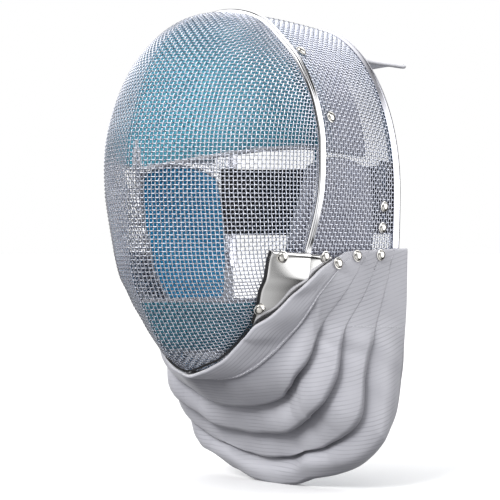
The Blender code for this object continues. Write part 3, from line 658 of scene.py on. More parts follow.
def build_seam_strip(material):
    """Chrome strip: a round bead in front, a fine groove and a flat side behind, lower where it is covered."""
    path = evenly(SEAM_LINE, 260)
    along, out = arch_frame(path, [(0, (1, 0, 0)), (-1, (-1, 0, 0))])
    path[[0, -1], 0] = 0
    out = unit(out)
    back = np.cross(along, out)
    back *= np.sign(back[:, 1:2])
    height = path[:, 2]
    proud = STRIP_PROUD - fall(height, *STRIP_COVERED) - fall(height, *STRIP_AT_CHIN)
    offsets = np.tile(STRIP_SECTION, (len(path), 1, 1))
    offsets[..., 0] *= np.where(STRIP_SECTION[:, 0] > 0, proud[:, None], STRIP_INWARD)
    offsets[..., 1] *= STRIP_HALF_WIDTH
    half = carried(path, out, back, offsets)
    other = (half * MIRROR)[-2:0:-1]
    piece = ringed("seam_strip", np.concatenate([half, other, half[:1]]), material)
    sharp_edges(piece, 50)
    return piece


def build_rim_band(material):
    """Folded steel band over the rear edge of the side mesh, with a raised line near its rear edge."""
    path = evenly(RIM_ARCH, 150)
    path[:, 1] = RIM_Y - RIM_HALF_BAND
    out = arch_frame(path, [(0, (1, 0, 0))])[1]
    back = np.tile([0.0, 1.0, 0.0], (len(path), 1))
    half = carried(path, out, back, RIM_SECTION)
    piece = closed_tube("rim_band", np.concatenate([half[::-1], (half * MIRROR)[1:]]), material)
    sharp_edges(piece, 50)
    return piece


PLAN_AHEAD = 200
PLAN_BACK = 120


def plan_at(height):
    """Plan of the wall at each height, from the crease round the seam to the rim: points, outward directions and
    length from the seam."""
    turn = np.linspace(0, 1, PLAN_AHEAD)
    ahead = bowl_point(height[:, None] + 0 * turn, turn + 0 * height[:, None])
    back = np.linspace(0, 1, PLAN_BACK)[1:, None]
    end = ahead[:, -1:]
    rim = np.stack([RIM_HALF + 0 * height, RIM_Y + 0 * height, height], -1)[:, None]
    plan = np.concatenate([ahead, end + (rim - end) * back], axis=1)
    step = np.gradient(plan, axis=1)
    out = unit(np.stack([np.abs(step[..., 1]), -step[..., 0], 0 * step[..., 0]], -1))
    steps = np.linalg.norm(np.diff(plan, axis=1), axis=-1)
    length = np.concatenate([0 * height[:, None], np.cumsum(steps, axis=1)], 1)
    return plan, out, length - length[:, PLAN_AHEAD - 1:PLAN_AHEAD]


# Cheek plate, up its rows: height, reach of its front edge ahead of the seam, reach of its rear edge behind it
PLATE = np.array([(-60.0, 22.0, 8.0), (-52.0, 25.5, 10.0), (-40.0, 31.5, 16.0), (-25.0, 34.5, 22.0),
                  (-12.0, 34.7, 26.0), (-0.5, 33.4, 26.0)])
PLATE_FOOT = PLATE[0, 0]
PLATE_TOP = PLATE[-1, 0]
PLATE_CLEAR = 2.2
PLATE_RIDGE = 2.6
PLATE_WALL = 1.2
PLATE_FALL = 4.0
ROLL_DEPTH = 0.9
ROLL_WIDTH = 1.8
# Width that a whole share stands for at the plate's edges; the bead's height, place below the top and width
SHARE_WIDTH = 30.0
TOP_BEAD = (0.55, 2.2, 1.1)
# Black strip that paints the shadow under the plate's front edge: its shares of the plate's reach, and its lifts
# off the wall
SHADOW_STRIP_SHARES = (-1.045, -0.9)
SHADOW_STRIP_LIFTS = (0.9, PLATE_CLEAR + 0.25)


def plate_reach(height):
    """Reach of the plate ahead of the seam and behind it, at a height."""
    return np.moveaxis(cubic(PLATE[:, 0], PLATE[:, 1:], height), -1, 0)


def plate_lift(share):
    """How far the plate's inner face stands off the wall: a ridge over the seam, falling by the square."""
    return PLATE_CLEAR + PLATE_RIDGE * (1 - np.abs(share)) ** 2


def plate_sheet(height, share, lift):
    """Points over the wall at heights and shares of the plate's reach, lifted off it by lift millimetres."""
    plan, out, length = plan_at(height)
    ahead, behind = plate_reach(height)
    at = np.where(share < 0, share * ahead[:, None], share * behind[:, None])
    slot = np.stack([np.searchsorted(row, find) for row, find in zip(length, at)])
    slot = np.clip(slot, 1, length.shape[1] - 1)
    row = np.arange(len(height))[:, None]
    part = ((at - length[row, slot - 1]) / (length[row, slot] - length[row, slot - 1]))[..., None]
    base, away = (grid[row, slot - 1] * (1 - part) + grid[row, slot] * part for grid in (plan, out))
    point = base + away * lift[..., None]
    point[..., 2] = height[:, None] - PLATE_FALL * (share + 1) / 2
    return point


def build_cheek_plate(name, side, material):
    """Bent plate over the seam strip, with a low bead along its top: its edges are drawn down by a quarter circle
    and rolled towards the wall."""
    share = np.unique(np.concatenate([np.linspace(-1, 1, 57), -1 + np.linspace(0, 0.08, 7),
                                      1 - np.linspace(0, 0.08, 7), np.linspace(-0.05, 0.05, 7)]))
    down = np.unique(np.concatenate([np.linspace(0, 1, 46), np.linspace(0, 0.06, 8),
                                     1 - np.linspace(0, 0.05, 5)]))
    height = PLATE_TOP + (PLATE_FOOT - PLATE_TOP) * down
    grid = np.broadcast_to(share, (len(height), len(share)))
    top = (PLATE_TOP - height)[:, None]
    near = np.minimum(np.minimum(top, (height - PLATE_FOOT)[:, None]), (1 - np.abs(grid)) * SHARE_WIDTH)
    rolled = ROLL_DEPTH * (1 - quarter_circle(near, ROLL_WIDTH))
    rise, place, width = TOP_BEAD
    bead = rise * np.exp(-((top - place) / width) ** 2)
    outer = plate_sheet(height, grid, plate_lift(grid) + PLATE_WALL + bead - rolled)
    inner = plate_sheet(height, grid, plate_lift(grid))
    piece = shell_piece(name, outer * [side, 1, 1], inner * [side, 1, 1], material)
    sharp_edges(piece, 60)
    return piece


def build_plate_shadow_strip(name, side, material):
    """Black strip under the plate's front edge, a painted shadow: it fills the plate's stand-off from just behind
    the edge to a little in front of it."""
    height = np.linspace(PLATE_TOP, PLATE_FOOT + 4, 60)
    share = np.broadcast_to(np.linspace(*SHADOW_STRIP_SHARES, 9), (60, 9))
    inner, outer = (plate_sheet(height, share, lift + 0 * share) * [side, 1, 1] for lift in SHADOW_STRIP_LIFTS)
    return shell_piece(name, outer, inner, material)


RIVET_NODES = [f"rivet_{name}_{side}" for side in ("left", "right") for name in (
    "plate_front", "plate_rear", "plate_low", "bib_corner", "bib_top_front", "bib_top_rear", "strap_upper",
    "strap_lower", "crown", "temple")]
# Rivet's profile: radius and height of its flange's corners, then the dome's radius, foot and rise
FLANGE = np.array([(0.0, 0.0), (4.5, 0.0), (4.6, 0.08), (4.6, 0.36), (4.35, 0.46)])
DOME_RADIUS = 4.15
DOME_FOOT = 0.5
DOME_RISE = 2.25


def build_rivets(material):
    """Domed rivets turned about the CAD rivets' own axes: a thin flange, then a dome of a quarter ellipse."""
    arc = np.linspace(0, math.pi / 2, 9)
    radius = np.concatenate([FLANGE[:, 0], DOME_RADIUS * np.cos(arc)])[:, None, None]
    height = np.concatenate([FLANGE[:, 1], DOME_FOOT + DOME_RISE * np.sin(arc)])[:, None, None]
    circle = round_section(1.0, 32)
    for node in RIVET_NODES:
        solid = bpy.data.objects[node]
        flat = np.empty(3 * len(solid.data.vertices))
        solid.data.vertices.foreach_get("co", flat)
        points = np.unique(np.round(flat.reshape(-1, 3) / MM, 4), axis=0)
        centre = points.mean(axis=0)
        up = np.linalg.eigh(np.cov((points - centre).T))[1][:, 0]
        reach = np.dot(points - centre, up)
        if reach.max() < -reach.min():
            up, reach = -up, -reach
        along = unit(np.cross(up, [0.0, 0.0, 1.0]))
        ring = circle[:, :1] * along + circle[:, 1:] * np.cross(up, along)
        grid = centre + up * reach.min() + radius * ring + height * up
        piece = ringed(node.replace("rivet_", "dome_"), grid + [0, 0, HEAD_SEAT], material)
        sharp_edges(piece, 45)
        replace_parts(piece, node)


# ---------------------------------------------------------------- bib

# Bib lines, from its edge on the bowl to its hem: X, Y and height from the centre front round to the top edge
BIB_LINES = np.array([
    [(0, -94, -96.5), (14.5, -93, -91.5), (30.5, -87, -82), (39, -83.5, -73.5), (46.5, -81, -64.5),
     (56, -79.5, -53.5), (68, -74, -47), (80, -65, -34), (88.5, -47, -17), (91, -14, -1.5)],
    [(0, -74, -98.5), (14, -73, -98.5), (28, -69, -97), (41, -65, -91.5), (56, -59.5, -80), (68, -53, -66),
     (78, -50, -54), (86, -44, -38), (91, -26, -18), (92.5, -2, -0.5)],
    [(0, -36, -117), (16, -35, -115.5), (31, -32.5, -112), (45, -31.5, -106.5), (58.5, -37, -98.5),
     (69, -40, -88), (75.5, -38, -74), (82, -34, -57), (92, -12, -27), (94, 10, 0)],
    [(0, -12, -142), (17, -11.5, -140), (34, -10, -134.5), (50, -11, -126), (63, -15, -118.5), (75, -20, -110),
     (85, -19, -93), (88, -15, -65), (93, 6, -32), (94.5, 26, 0.5)],
    [(0, 6, -165), (20, 8, -163), (40, 9.5, -155.5), (58, 9.5, -147), (74, 6, -136), (84, 3.5, -125),
     (90, 3, -104), (93, 15, -68), (94, 28, -34), (95, 41, 1)],
    [(0, 15, -191), (22, 15, -189.5), (40, 14, -184), (58, 22, -177), (70, 30, -167.5), (80, 40, -150),
     (87, 49, -129), (92, 56, -84), (95, 57, -40), (96, 57, 1.5)],
], float)
BIB_END = 9
TIERS = 5
FINE_PER_TIER = 18

# Outer face across one tier: share of the way to its lower edge, height over the valley. The last ones turn back
# under the edge
TIER = np.array([
    (-0.09, 0.0), (-0.02, 0.1), (0.05, 0.4), (0.14, 1.05), (0.27, 1.95), (0.42, 2.8), (0.57, 3.45), (0.72, 3.9),
    (0.85, 4.05), (0.93, 4.0), (0.985, 3.7), (1.012, 3.15), (1.012, 2.6), (0.995, 2.1), (0.965, 1.65),
    (0.935, 1.15), (0.918, 0.55)])
YOKE = np.array([
    (0.0, 1.2), (0.012, 1.2), (0.03, 1.2), (0.06, 1.2), (0.12, 1.25), (0.25, 1.4), (0.4, 1.5), (0.55, 1.5),
    (0.7, 1.45), (0.8, 1.35), (0.86, 1.1), (0.89, 0.8), (0.92, 1.25), (0.96, 1.35), (0.985, 1.2), (0.995, 0.8)])
HEM = np.array([(0.7, 3.3), (0.86, 3.2), (0.94, 2.9), (0.955, 2.5), (0.97, 2.85), (0.99, 2.8), (1.0, 2.6)])
LAST_TIER_ROWS = 7

# Round the bib: relief of the tiers as a share of the heights above, and outward swell of the last tier
TIER_DEEP = np.array([(0.0, 2.3), (2.0, 2.5), (4.0, 2.6), (5.0, 2.4), (6.0, 1.8), (6.6, 0.9), (9.0, 0.5)])
HEM_SWELL = np.array([(0.0, 2.0), (2.0, 5.0), (3.5, 10.0), (5.0, 11.0), (6.2, 8.0), (7.5, 0.0)])

# Belly of the folds: its height, then where it comes and goes, round the bib and across it, each over a stretch
BELLY = 7.0
BELLY_AROUND = (0.6, 4.4, 1.8)
BELLY_ACROSS = (1.9, 4.1, 0.9)

# The folds lie flat past the line of stitches on the side, the yoke's own relief further round, apart from a low
# wrinkle: where each ends and over what stretch
FOLDS_END = (6.75, 0.5)
YOKE_END = (8.0, 0.9)
WRINKLE = 0.1
WRINKLE_START = (6.75, 0.4)
WRINKLE_END = (7.7, 0.8)

VALLEY = 1.7
FLAT_TOP = 3.0
MIDDLE_WALL = 1.4
EDGE_ROUND = 1.6
GATHER = 0.32
# Painted shade in the valley under each fold's edge: how dark it is painted, and how far across the tier it
# reaches
CREASE_PAINTED_SHADE = 0.5
CREASE_SHADE_REACH = 0.3
STRIPE_PITCH = 3.4
STRIPE_SLOPE = 0.25
YOKE_STRIPE_PITCH = 3.0

# Cover under the bib: mesh, rim band with its place, half width of the strip's own cover, plate's extent, and the
# air left over all of them
MESH_COVER = 1.0
RIM_COVER = 2.4
RIM_COVER_FROM = 43.5
STRIP_COVER_HALF = 3.6
PLATE_COVER = (1.06, -63, 4)
PLATE_COVER_AHEAD = 0.93
COVER_AIR = 0.8
MOST_LIFT = 9


def between(x, start, end, over):
    """One between start and end, coming and going by soft steps."""
    return soft_step((x - start) / over) * (1 - soft_step((x - end) / over))


def bib_base(around, across):
    """Base sheet of the bib: monotone cubics through BIB_LINES, around 0..9 along them and across 0..5 from the
    edge to the hem; each line goes on over the middle plane as its own reflection."""
    lines = np.concatenate([BIB_LINES[:, 2:0:-1] * MIRROR, BIB_LINES], axis=1)
    here = cubic(np.arange(lines.shape[1]) - 2.0, lines.transpose(1, 0, 2), around)
    return cubic(np.arange(len(lines)), here.transpose(1, 0, 2), across).transpose(1, 0, 2)


def field_gap(field, point):
    """Distance to the zero of a field along its slope, by differences of 0.5 mm."""
    slope = np.stack([field(point + step) - field(point - step) for step in 0.5 * np.eye(3)], -1)
    return field(point) / (np.linalg.norm(slope, axis=-1) + TINY)


def covered_height(point):
    """How far the bib must stay off the wall: the highest of mesh, strip, cheek plate and rim, and some air."""
    y, height = point[..., 1], point[..., 2]
    seam = bowl_size(height)[2]
    ahead, behind = plate_reach(height)
    share = np.where(y < seam, (seam - y) / (PLATE_COVER_AHEAD * ahead), (y - seam) / behind)
    plate = plate_lift(np.clip(share, 0, 1)) + PLATE_WALL
    strip = STRIP_PROUD - fall(height, *STRIP_COVERED)
    widest, foot, top = PLATE_COVER
    cover = np.full(height.shape, MESH_COVER)
    cover = np.where(np.abs(y - seam) < STRIP_COVER_HALF, np.maximum(cover, strip), cover)
    cover = np.where(y > RIM_COVER_FROM, np.maximum(cover, RIM_COVER), cover)
    cover = np.where((share < widest) & (height > foot) & (height < top), np.maximum(cover, plate), cover)
    return cover + COVER_AIR


def neighbours(grid):
    """A grid and its four copies, each moved by one place."""
    padded = np.pad(grid, 1, mode="edge")
    return padded[1:-1, 1:-1], padded[:-2, 1:-1], padded[2:, 1:-1], padded[1:-1, :-2], padded[1:-1, 2:]


def drape_lift(points):
    """Rise of each base point over what it covers, spread to its neighbours and smoothed."""
    y, height = points[..., 1], points[..., 2]
    in_front = (y < bowl_size(height)[2] + 1) & (height > CHIN + 3)
    beside = ~in_front & (height > SIDE_FOOT - 8) & (y < RIM_Y + 2)
    need = covered_height(points)
    front_rise = np.where(in_front, need - field_gap(bowl_field, points), 0)
    side_rise = np.where(beside, need - (np.abs(points[..., 0]) - wall_x(y, height)), 0)
    rise = np.clip(np.maximum(front_rise, side_rise), 0, MOST_LIFT)
    for reach in range(6):
        rise = np.maximum.reduce(neighbours(rise))
    for turn in range(14):
        here, *beside_it = neighbours(rise)
        rise = (2 * here + sum(beside_it)) / 6
    return rise


def bib_profile():
    """Across and height values of the outer face from the edge to the hem, with the tier that each belongs to."""
    tiers = [YOKE, *(TIER + [tier, 0] for tier in (1, 2, 3)),
             np.concatenate([TIER[:LAST_TIER_ROWS], HEM]) + [4, 0]]
    across, height = np.concatenate(tiers).T
    return across, height, np.repeat(np.arange(TIERS), [len(tier) for tier in tiers])


def bib_lift(around, even):
    """The base sheet on even steps and its rise: over what it covers, with the swell of the last tier as a half
    sine across it, and the belly of the folds."""
    coarse = bib_base(around, even)
    swell = np.interp(around, *HEM_SWELL.T)[:, None] * np.sin(math.pi * np.clip(even - 4, 0, 1))
    belly = BELLY * between(around, *BELLY_AROUND)[:, None] * between(even, *BELLY_ACROSS)
    return coarse, drape_lift(coarse) + swell + belly


def bib_folds(around, kind):
    """How much of each tier's relief is left round the bib, without and with the wrinkle past the folds' ends."""
    around = around[:, None]
    end, over = (np.where(kind == 0, yoke, tier) for yoke, tier in zip(YOKE_END, FOLDS_END))
    folded = 1 - soft_step((around - end) / over)
    start, rise = WRINKLE_START
    stop, sink = WRINKLE_END
    wrinkle = WRINKLE * soft_step((around - start) / rise) * (1 - soft_step((around - stop) / sink))
    return folded, np.where(kind >= 1, folded + wrinkle, folded)


def bib_gathers(lengthwise, share, kind):
    """Small puckers round the bib: two sines whose lengths don't match, strongest in the middle of a tier."""
    waves = (np.sin(lengthwise / 5.2 + 1.9 * np.sin(lengthwise / 23) + kind)
             + 0.7 * np.sin(lengthwise / 8.7 + 2.3 * kind + 0.8))
    return waves * GATHER * np.clip(np.sin(math.pi * np.clip(share + 0.05, 0, 1)), 0, 1) * (kind >= 1)


def build_bib(material):
    """Padded bib: a smooth yoke, three overlapping tiers and the hem, each tier one fold of the same cloth that
    turns back under its own lower edge; above the stitched line on the side the folds lie flat. The map follows
    the stripes, and the crease attribute holds the painted shade in the valley under each fold's edge."""
    last_steps = np.array([0.075, 0.05, 0.03, 0.018, 0.009, 0.003, 0.0])
    around = np.concatenate([np.linspace(0, BIB_END - 0.1, 170), BIB_END - last_steps])
    across, height, kind = bib_profile()
    coarse, lift = bib_lift(around, np.linspace(0, TIERS, FINE_PER_TIER * TIERS + 1))
    coarse_out = sheet_out(coarse)
    coarse_out[0, :, 0] = 0
    place = np.clip(across, 0, TIERS) * FINE_PER_TIER
    base = bib_base(around, across)
    rise = columns_at(lift, place)
    out = unit(columns_at(coarse_out, place))

    folded, relief = bib_folds(around, kind)
    share = across - np.floor(across + 0.1)
    lengthwise = arch_length(base[:, 60])[:, None]
    gather = bib_gathers(lengthwise, share, kind) * relief
    deep = np.where(kind == 0, 1.0, np.interp(around, *TIER_DEEP.T)[:, None])
    thick = VALLEY + height * relief * deep + gather + (1 - relief) * (FLAT_TOP - VALLEY)

    end = arch_length(base[:, 45])
    to_edge = np.linalg.norm(base - base[:, :1], axis=-1)
    to_hem = np.linalg.norm(base - base[:, -1:], axis=-1)
    rounded = (quarter_circle(end[-1] - end, EDGE_ROUND)[:, None] * quarter_circle(to_edge, EDGE_ROUND)
               * quarter_circle(to_hem, EDGE_ROUND))
    outer = base + out * (rise + MIDDLE_WALL + (thick - MIDDLE_WALL) * rounded)[..., None]
    inner = (base + out * (rise + MIDDLE_WALL * (1 - rounded))[..., None])[:, np.argsort(across)]
    outer[0, :, 0] = 0
    inner[0, :, 0] = 0

    sloped = outer[..., 2] - STRIPE_SLOPE * outer[..., 1]
    stripe = np.where(kind == 0, to_edge / YOKE_STRIPE_PITCH, sloped / STRIPE_PITCH)
    uv = whole(np.stack([np.broadcast_to(lengthwise, stripe.shape) / 100, stripe], -1), [-1, 1])
    piece = shell_piece("bib_cloth", whole(outer), whole(inner), material, uv=uv, inner_material=1)
    # Painted shade: darkest just under each fold's edge, fading across the tier, only in the tiers below the yoke
    # and none where the folds lie flat
    hollow = CREASE_PAINTED_SHADE * np.exp(-(np.clip(share + 0.02, 0, 1) / CREASE_SHADE_REACH) ** 2) * (kind >= 1) * folded
    hollow = whole(hollow, 1).ravel()
    crease = piece.data.attributes.new("crease", "FLOAT", "POINT")
    crease.data.foreach_set("value", np.concatenate([hollow, 0 * hollow]).astype(np.float32))
    return piece, outer, out, across, kind


STITCH_LENGTH = 2.3
STITCH_GAP = 1.1
STITCH_RADIUS = 0.24
STITCH_SIDES = 5
# Rings of one stitch: share of its length, then radius and height over the cloth as shares of its radius
STITCH = np.array([(0.0, 0.15, -0.3), (0.18, 0.85, 0.7), (0.5, 1.0, 1.1), (0.82, 0.85, 0.7), (1.0, 0.15, -0.3)])
YOKE_STITCH = 0.93
YOKE_STITCH_ROWS = slice(14, 150)
LEVEL_STITCH = -59.5
LEVEL_SLOPE = 0.05
LEVEL_ROW = 140
LEVEL_TOP_ROW = 110


def stitches(name, path, out, material):
    """Row of stitches along a path: each a five-sided spindle, thick in the middle and sunk at both ends."""
    starts = np.arange(0, arch_length(path)[-1] - STITCH_LENGTH, STITCH_LENGTH + STITCH_GAP)
    at = starts[:, None] + STITCH[:, 0] * STITCH_LENGTH
    width, rise = STITCH_RADIUS * STITCH[:, 1:].T
    centre = spaced(path, at)
    up = unit(spaced(path, at, out))
    side = unit(np.cross(up, centre[:, -1:] - centre[:, :1] + 0 * up))
    circle = round_section(1.0, STITCH_SIDES)
    ring = (centre + up * rise[:, None])[:, :, None] + width[None, :, None, None] * (
        circle[:, :1] * up[:, :, None] + circle[:, 1:] * side[:, :, None])
    k = np.arange(STITCH_SIDES)
    points = STITCH_SIDES * len(STITCH)
    first = (np.arange(len(starts))[:, None] * points + np.arange(len(STITCH) - 1) * STITCH_SIDES)[..., None]
    after = first + (k + 1) % STITCH_SIDES
    walls = np.stack([first + k, after, after + STITCH_SIDES, first + k + STITCH_SIDES], -1).reshape(-1, 4)
    mended(mesh_piece(name, ring.reshape(-1, 3), walls, material), fill_holes)


def build_stitch_rows(outer, out, across, kind, material):
    """Stitches along the yoke's lower edge, and along one level on each side, where the lower tiers end."""
    column = int(np.argmin(np.abs(across - YOKE_STITCH) + 9 * (kind != 0)))
    yoke, yoke_out = outer[YOKE_STITCH_ROWS, column], out[YOKE_STITCH_ROWS, column]
    columns = np.flatnonzero((kind >= 3) & (across > 2.95) & (across < 4.97))
    columns = columns[np.argsort(across[columns])]
    rows = slice(LEVEL_TOP_ROW, len(outer) - 8)
    level = np.array([[np.interp(LEVEL_STITCH - LEVEL_SLOPE * outer[LEVEL_ROW, k, 1], outer[rows, k, 2],
                                 outer[rows, k, axis]) for axis in range(3)] for k in columns])
    level_out = out[LEVEL_ROW, columns]
    for word, side in SIDES:
        flip = np.array([side, 1, 1])
        stitches(f"yoke_stitches_{word}", yoke * flip, yoke_out * flip, material)
        stitches(f"side_stitches_{word}", level * flip, level_out * flip, material)


# ---------------------------------------------------------------- pads, strap and tongue

PILLOW_POWER = 6
PILLOW_SEAM = 0.42
PIPING_SIDES = 10


def pillow(name, wall_side, away, thickness, material, sewn=1.0):
    """Padded panel hung from a grid on its wall side: away points into the hollow. Its thickness falls to nothing
    along its edges as (1 - |p|^n)^(1/2) (1 - |q|^n)^(1/2), and dips along sewn lines."""
    p, q = (np.abs(np.linspace(-1, 1, count)) ** PILLOW_POWER for count in wall_side.shape[:2])
    full = np.sqrt(np.clip((1 - p[:, None]) * (1 - q), 0, 1)) * sewn
    outer = wall_side + away * (thickness * PILLOW_SEAM * (1 - full))[..., None]
    inner = wall_side + away * (thickness * (PILLOW_SEAM + (1 - PILLOW_SEAM) * full))[..., None]
    return shell_piece(name, outer, inner, material, inner_material=1), around_edge((outer + inner) / 2)


def piping(name, path, radius, material, closed=True):
    """Cord sewn round an edge: a round section carried along the path."""
    along = unit(np.roll(path, -1, axis=0) - np.roll(path, 1, axis=0) if closed else np.gradient(path, axis=0))
    out = path - path.mean(axis=0)
    out = unit(out - along * (out * along).sum(-1)[:, None])
    rings = carried(path, out, np.cross(along, out), round_section(radius, PIPING_SIDES))
    if closed:
        return ringed(name, np.concatenate([rings, rings[:1]]), material)
    return closed_tube(name, rings, material)


def piped_loop(name, edge, count, radius, material):
    """Piping round a pad's edge, count sections long."""
    piping(name, evenly(np.concatenate([edge, edge[:1]]), count + 1)[:-1], radius, material)


CROWN_SPREAD = math.radians(80)
CROWN_Y = np.concatenate([np.linspace(-156.2, -148, 14), np.linspace(-147, 19, 80)])
CROWN_INSET = 4.8
CROWN_THICK = 11.0
# The front of the pad swells to the rear: where that begins, and the stretch over which it comes
CROWN_FRONT = (-136, 18)
# Sewn lines: their place and width as shares of the spread, and the share of the thickness that they take
CROWN_SEWN = (0.34, 0.022, 0.42)
CROWN_TEAL_FROM = -38.0

SIDE_PAD_CENTRE = (-17, 11)
SIDE_PAD_HALF = (47, 60)
SIDE_PAD_CORNER = 0.28
SIDE_PAD_INSET = 5.6
SIDE_PAD_THICK = 9.0

CHIN_PAD_TOP = -38
CHIN_PAD_FOOT = -77
CHIN_PAD_TURN = 0.8
CHIN_PAD_INSET = 2.2
CHIN_PAD_THICK = 7.0


def line_front(piece, limit):
    """Give the faces on the wall side in front of a place along Y the lining of the inner side."""
    count = len(piece.data.polygons)
    middle = np.empty(count * 3)
    piece.data.polygons.foreach_get("center", middle)
    kind = np.empty(count, np.int32)
    piece.data.polygons.foreach_get("material_index", kind)
    kind[middle.reshape(-1, 3)[:, 1] < limit * MM] = 1
    piece.data.polygons.foreach_set("material_index", kind)


def build_crown_pad(lining, edging):
    """Cap pad under the crown, sewn into three channels along its length."""
    y, angle = np.meshgrid(CROWN_Y, np.linspace(-1, 1, 121) * CROWN_SPREAD, indexing="ij")
    reach = wall_reach(y, angle)
    wall = np.stack([reach * np.sin(angle), y, AXIS + reach * np.cos(angle)], -1)
    wall_side = wall - CROWN_INSET * sheet_out(wall)
    start, over = CROWN_FRONT
    front = soft_step((start - y) / over)[..., None]
    away = unit(-sheet_out(wall_side) * (1 - front) + np.array([0, 1.0, 0]) * front)
    place, width, dip = CROWN_SEWN
    sewn = 1 - dip * np.exp(-((np.abs(angle / CROWN_SPREAD) - place) / width) ** 2)
    piece, edge = pillow("crown_pad_cloth", wall_side, away, CROWN_THICK, lining, sewn)
    line_front(piece, CROWN_TEAL_FROM)
    piped_loop("crown_pad_edge", edge, 420, 1.9, edging)
    return piece


def build_side_pad(word, side, lining, edging):
    """Cheek pad bent to the wall: a rectangle drawn in towards its corners by sqrt(1 - SIDE_PAD_CORNER q^2)."""
    p, q = np.meshgrid(np.linspace(-1, 1, 56), np.linspace(-1, 1, 72), indexing="ij")
    y = SIDE_PAD_CENTRE[0] + SIDE_PAD_HALF[0] * p * np.sqrt(1 - SIDE_PAD_CORNER * q ** 2)
    z = SIDE_PAD_CENTRE[1] + SIDE_PAD_HALF[1] * q * np.sqrt(1 - SIDE_PAD_CORNER * p ** 2)
    wall_side = np.stack([wall_x(y, z) - SIDE_PAD_INSET, y, z], -1)
    flip = np.array([side, 1, 1])
    away = -sheet_out(wall_side) * flip
    piece, edge = pillow(f"side_pad_cloth_{word}", wall_side * flip, away, SIDE_PAD_THICK, lining)
    piped_loop(f"side_pad_edge_{word}", edge, 260, 1.4, edging)
    return piece


def build_chin_pad(lining, edging):
    """Chin pad: a band bent round the lower front of the bowl, smoothed where the crease is sharp."""
    heights, turn = np.meshgrid(np.linspace(CHIN_PAD_TOP, CHIN_PAD_FOOT, 34),
                                np.linspace(-CHIN_PAD_TURN, CHIN_PAD_TURN, 120), indexing="ij")
    points = bowl_point(heights, np.abs(turn))
    points[..., 0] *= np.where(turn < 0, -1, 1)
    away = unit((np.array([0, -45.0, 0]) - points) * [1, 1, 0])
    slope = 1 + 0.9 * np.clip((CHIN_PAD_TOP - heights) / (CHIN_PAD_TOP - CHIN_PAD_FOOT), 0, 1) ** 2
    wall_side = points + away * (CHIN_PAD_INSET * slope)[..., None]
    soft = wall_side.copy()
    for smoothing in range(10):
        soft[:, 1:-1] = (soft[:, :-2] + 2 * soft[:, 1:-1] + soft[:, 2:]) / 4
    wall_side = np.where(soft[..., 1:2] > wall_side[..., 1:2], soft, wall_side)
    piece, edge = pillow("chin_pad_cloth", wall_side, away, CHIN_PAD_THICK, lining)
    piped_loop("chin_pad_edge", edge, 360, 1.9, edging)
    return piece


# Strap's plan from the rim to the middle of the back: X and Y
STRAP_PLAN = np.array([(88.4, 34.0), (86.9, 43.0), (83.0, 56.0), (70.0, 73.0), (41.0, 87.0), (0.0, 92.0)])
STRAP_LEVEL = 42.0
STRAP_HALF = 29
STRAP_WALL = 0.75
STRAP_RIB = 0.12
SELVEDGE = 0.3
SELVEDGE_FROM = (0.9, 0.04)


def build_strap(material):
    """Wide elastic band behind the head: a flat section with cosine ribs and raised selvedges carried along its
    plan."""
    half = cubic(np.arange(6), STRAP_PLAN, np.linspace(0, 5, 90))
    plan = np.concatenate([half, (half * [-1, 1])[-2::-1]])
    path = evenly(np.column_stack([plan, np.full(len(plan), STRAP_LEVEL)]), 181)
    along = unit(np.gradient(path, axis=0))
    up = np.tile([0.0, 0.0, 1.0], (len(path), 1))
    across = np.linspace(-1, 1, 59)
    start, over = SELVEDGE_FROM
    thick = (STRAP_WALL + STRAP_RIB * np.cos(across * STRAP_HALF * math.pi / 2)
             + SELVEDGE * soft_step((np.abs(across) - start) / over))
    thick *= np.sqrt(np.clip(1 - np.abs(across) ** 60, 0, 1))
    face = np.stack([thick, STRAP_HALF * across], -1)
    section = np.concatenate([face, (face * [-1, 1])[::-1]])
    rings = carried(path, np.cross(along, up), up, section)
    return closed_tube("strap_elastic", rings, material), arch_length(path)[-1]


# Tongue's middle line from under the crown to its tip: Y and height
TONGUE_LINE = np.array([(26.0, 179.2), (40.0, 179.0), (54.0, 177.6), (72.0, 170.8), (95.0, 167.2),
                        (131.0, 166.8), (157.0, 165.5)])
TONGUE_HALF = 32.0
# Where the round tip begins along Y, and its length; then Y values and the sag of the edges there
TONGUE_TIP = (131, 26.05)
TONGUE_ARCH = ([54, 100], [9.2, 8.0])
TONGUE_WALL = 0.4
TONGUE_SWELL = 2.35
TONGUE_ROWS = 96


def tongue_grid(spread):
    """Middle sheet of the tongue: along its line, arched across by a square law, round at the tip."""
    at = np.concatenate([np.linspace(0, 5, TONGUE_ROWS - 14), 5 + np.sin(np.linspace(0, math.pi / 2, 15)[1:])])
    y, z = cubic(np.arange(7), TONGUE_LINE, at).T[..., None]
    start, length = TONGUE_TIP
    tip = np.sqrt(np.clip(1 - (np.clip(y - start, 0, None) / length) ** 2, 0.001, 1))
    x = TONGUE_HALF * tip * spread
    arch = np.interp(y, *TONGUE_ARCH) * (x / TONGUE_HALF) ** 2
    return np.stack([x, y + 0 * x, z - arch], -1)


def build_tongue(cover, edging):
    """Sprung tongue behind the crown: a thin pad round its middle sheet, full in the middle and flat at its
    edges, which are piped."""
    spread = np.linspace(-1, 1, 49)
    grid = tongue_grid(spread)
    along = np.linspace(0, 1, len(grid))[:, None]
    full = np.sqrt(np.clip(1 - np.abs(spread) ** 5, 0, 1)) * np.sqrt(np.clip(1 - along ** 30, 0, 1))
    half = sheet_out(grid) * (TONGUE_WALL + TONGUE_SWELL * full)[..., None]
    piece = shell_piece("tongue_cloth", grid + half, grid - half, cover, inner_material=1)
    edge = tongue_grid(np.array([-1.0, 1.0]))
    path = np.concatenate([edge[:, 0], edge[::-1, 1]])
    piping("tongue_edge", evenly(path, 300), 1.3, edging, closed=False)
    return piece


BINDING_END = 4.6
BINDING_RADIUS = 0.9
BINDING_INWARD = 1.5
BINDING_LIFT = 1.9


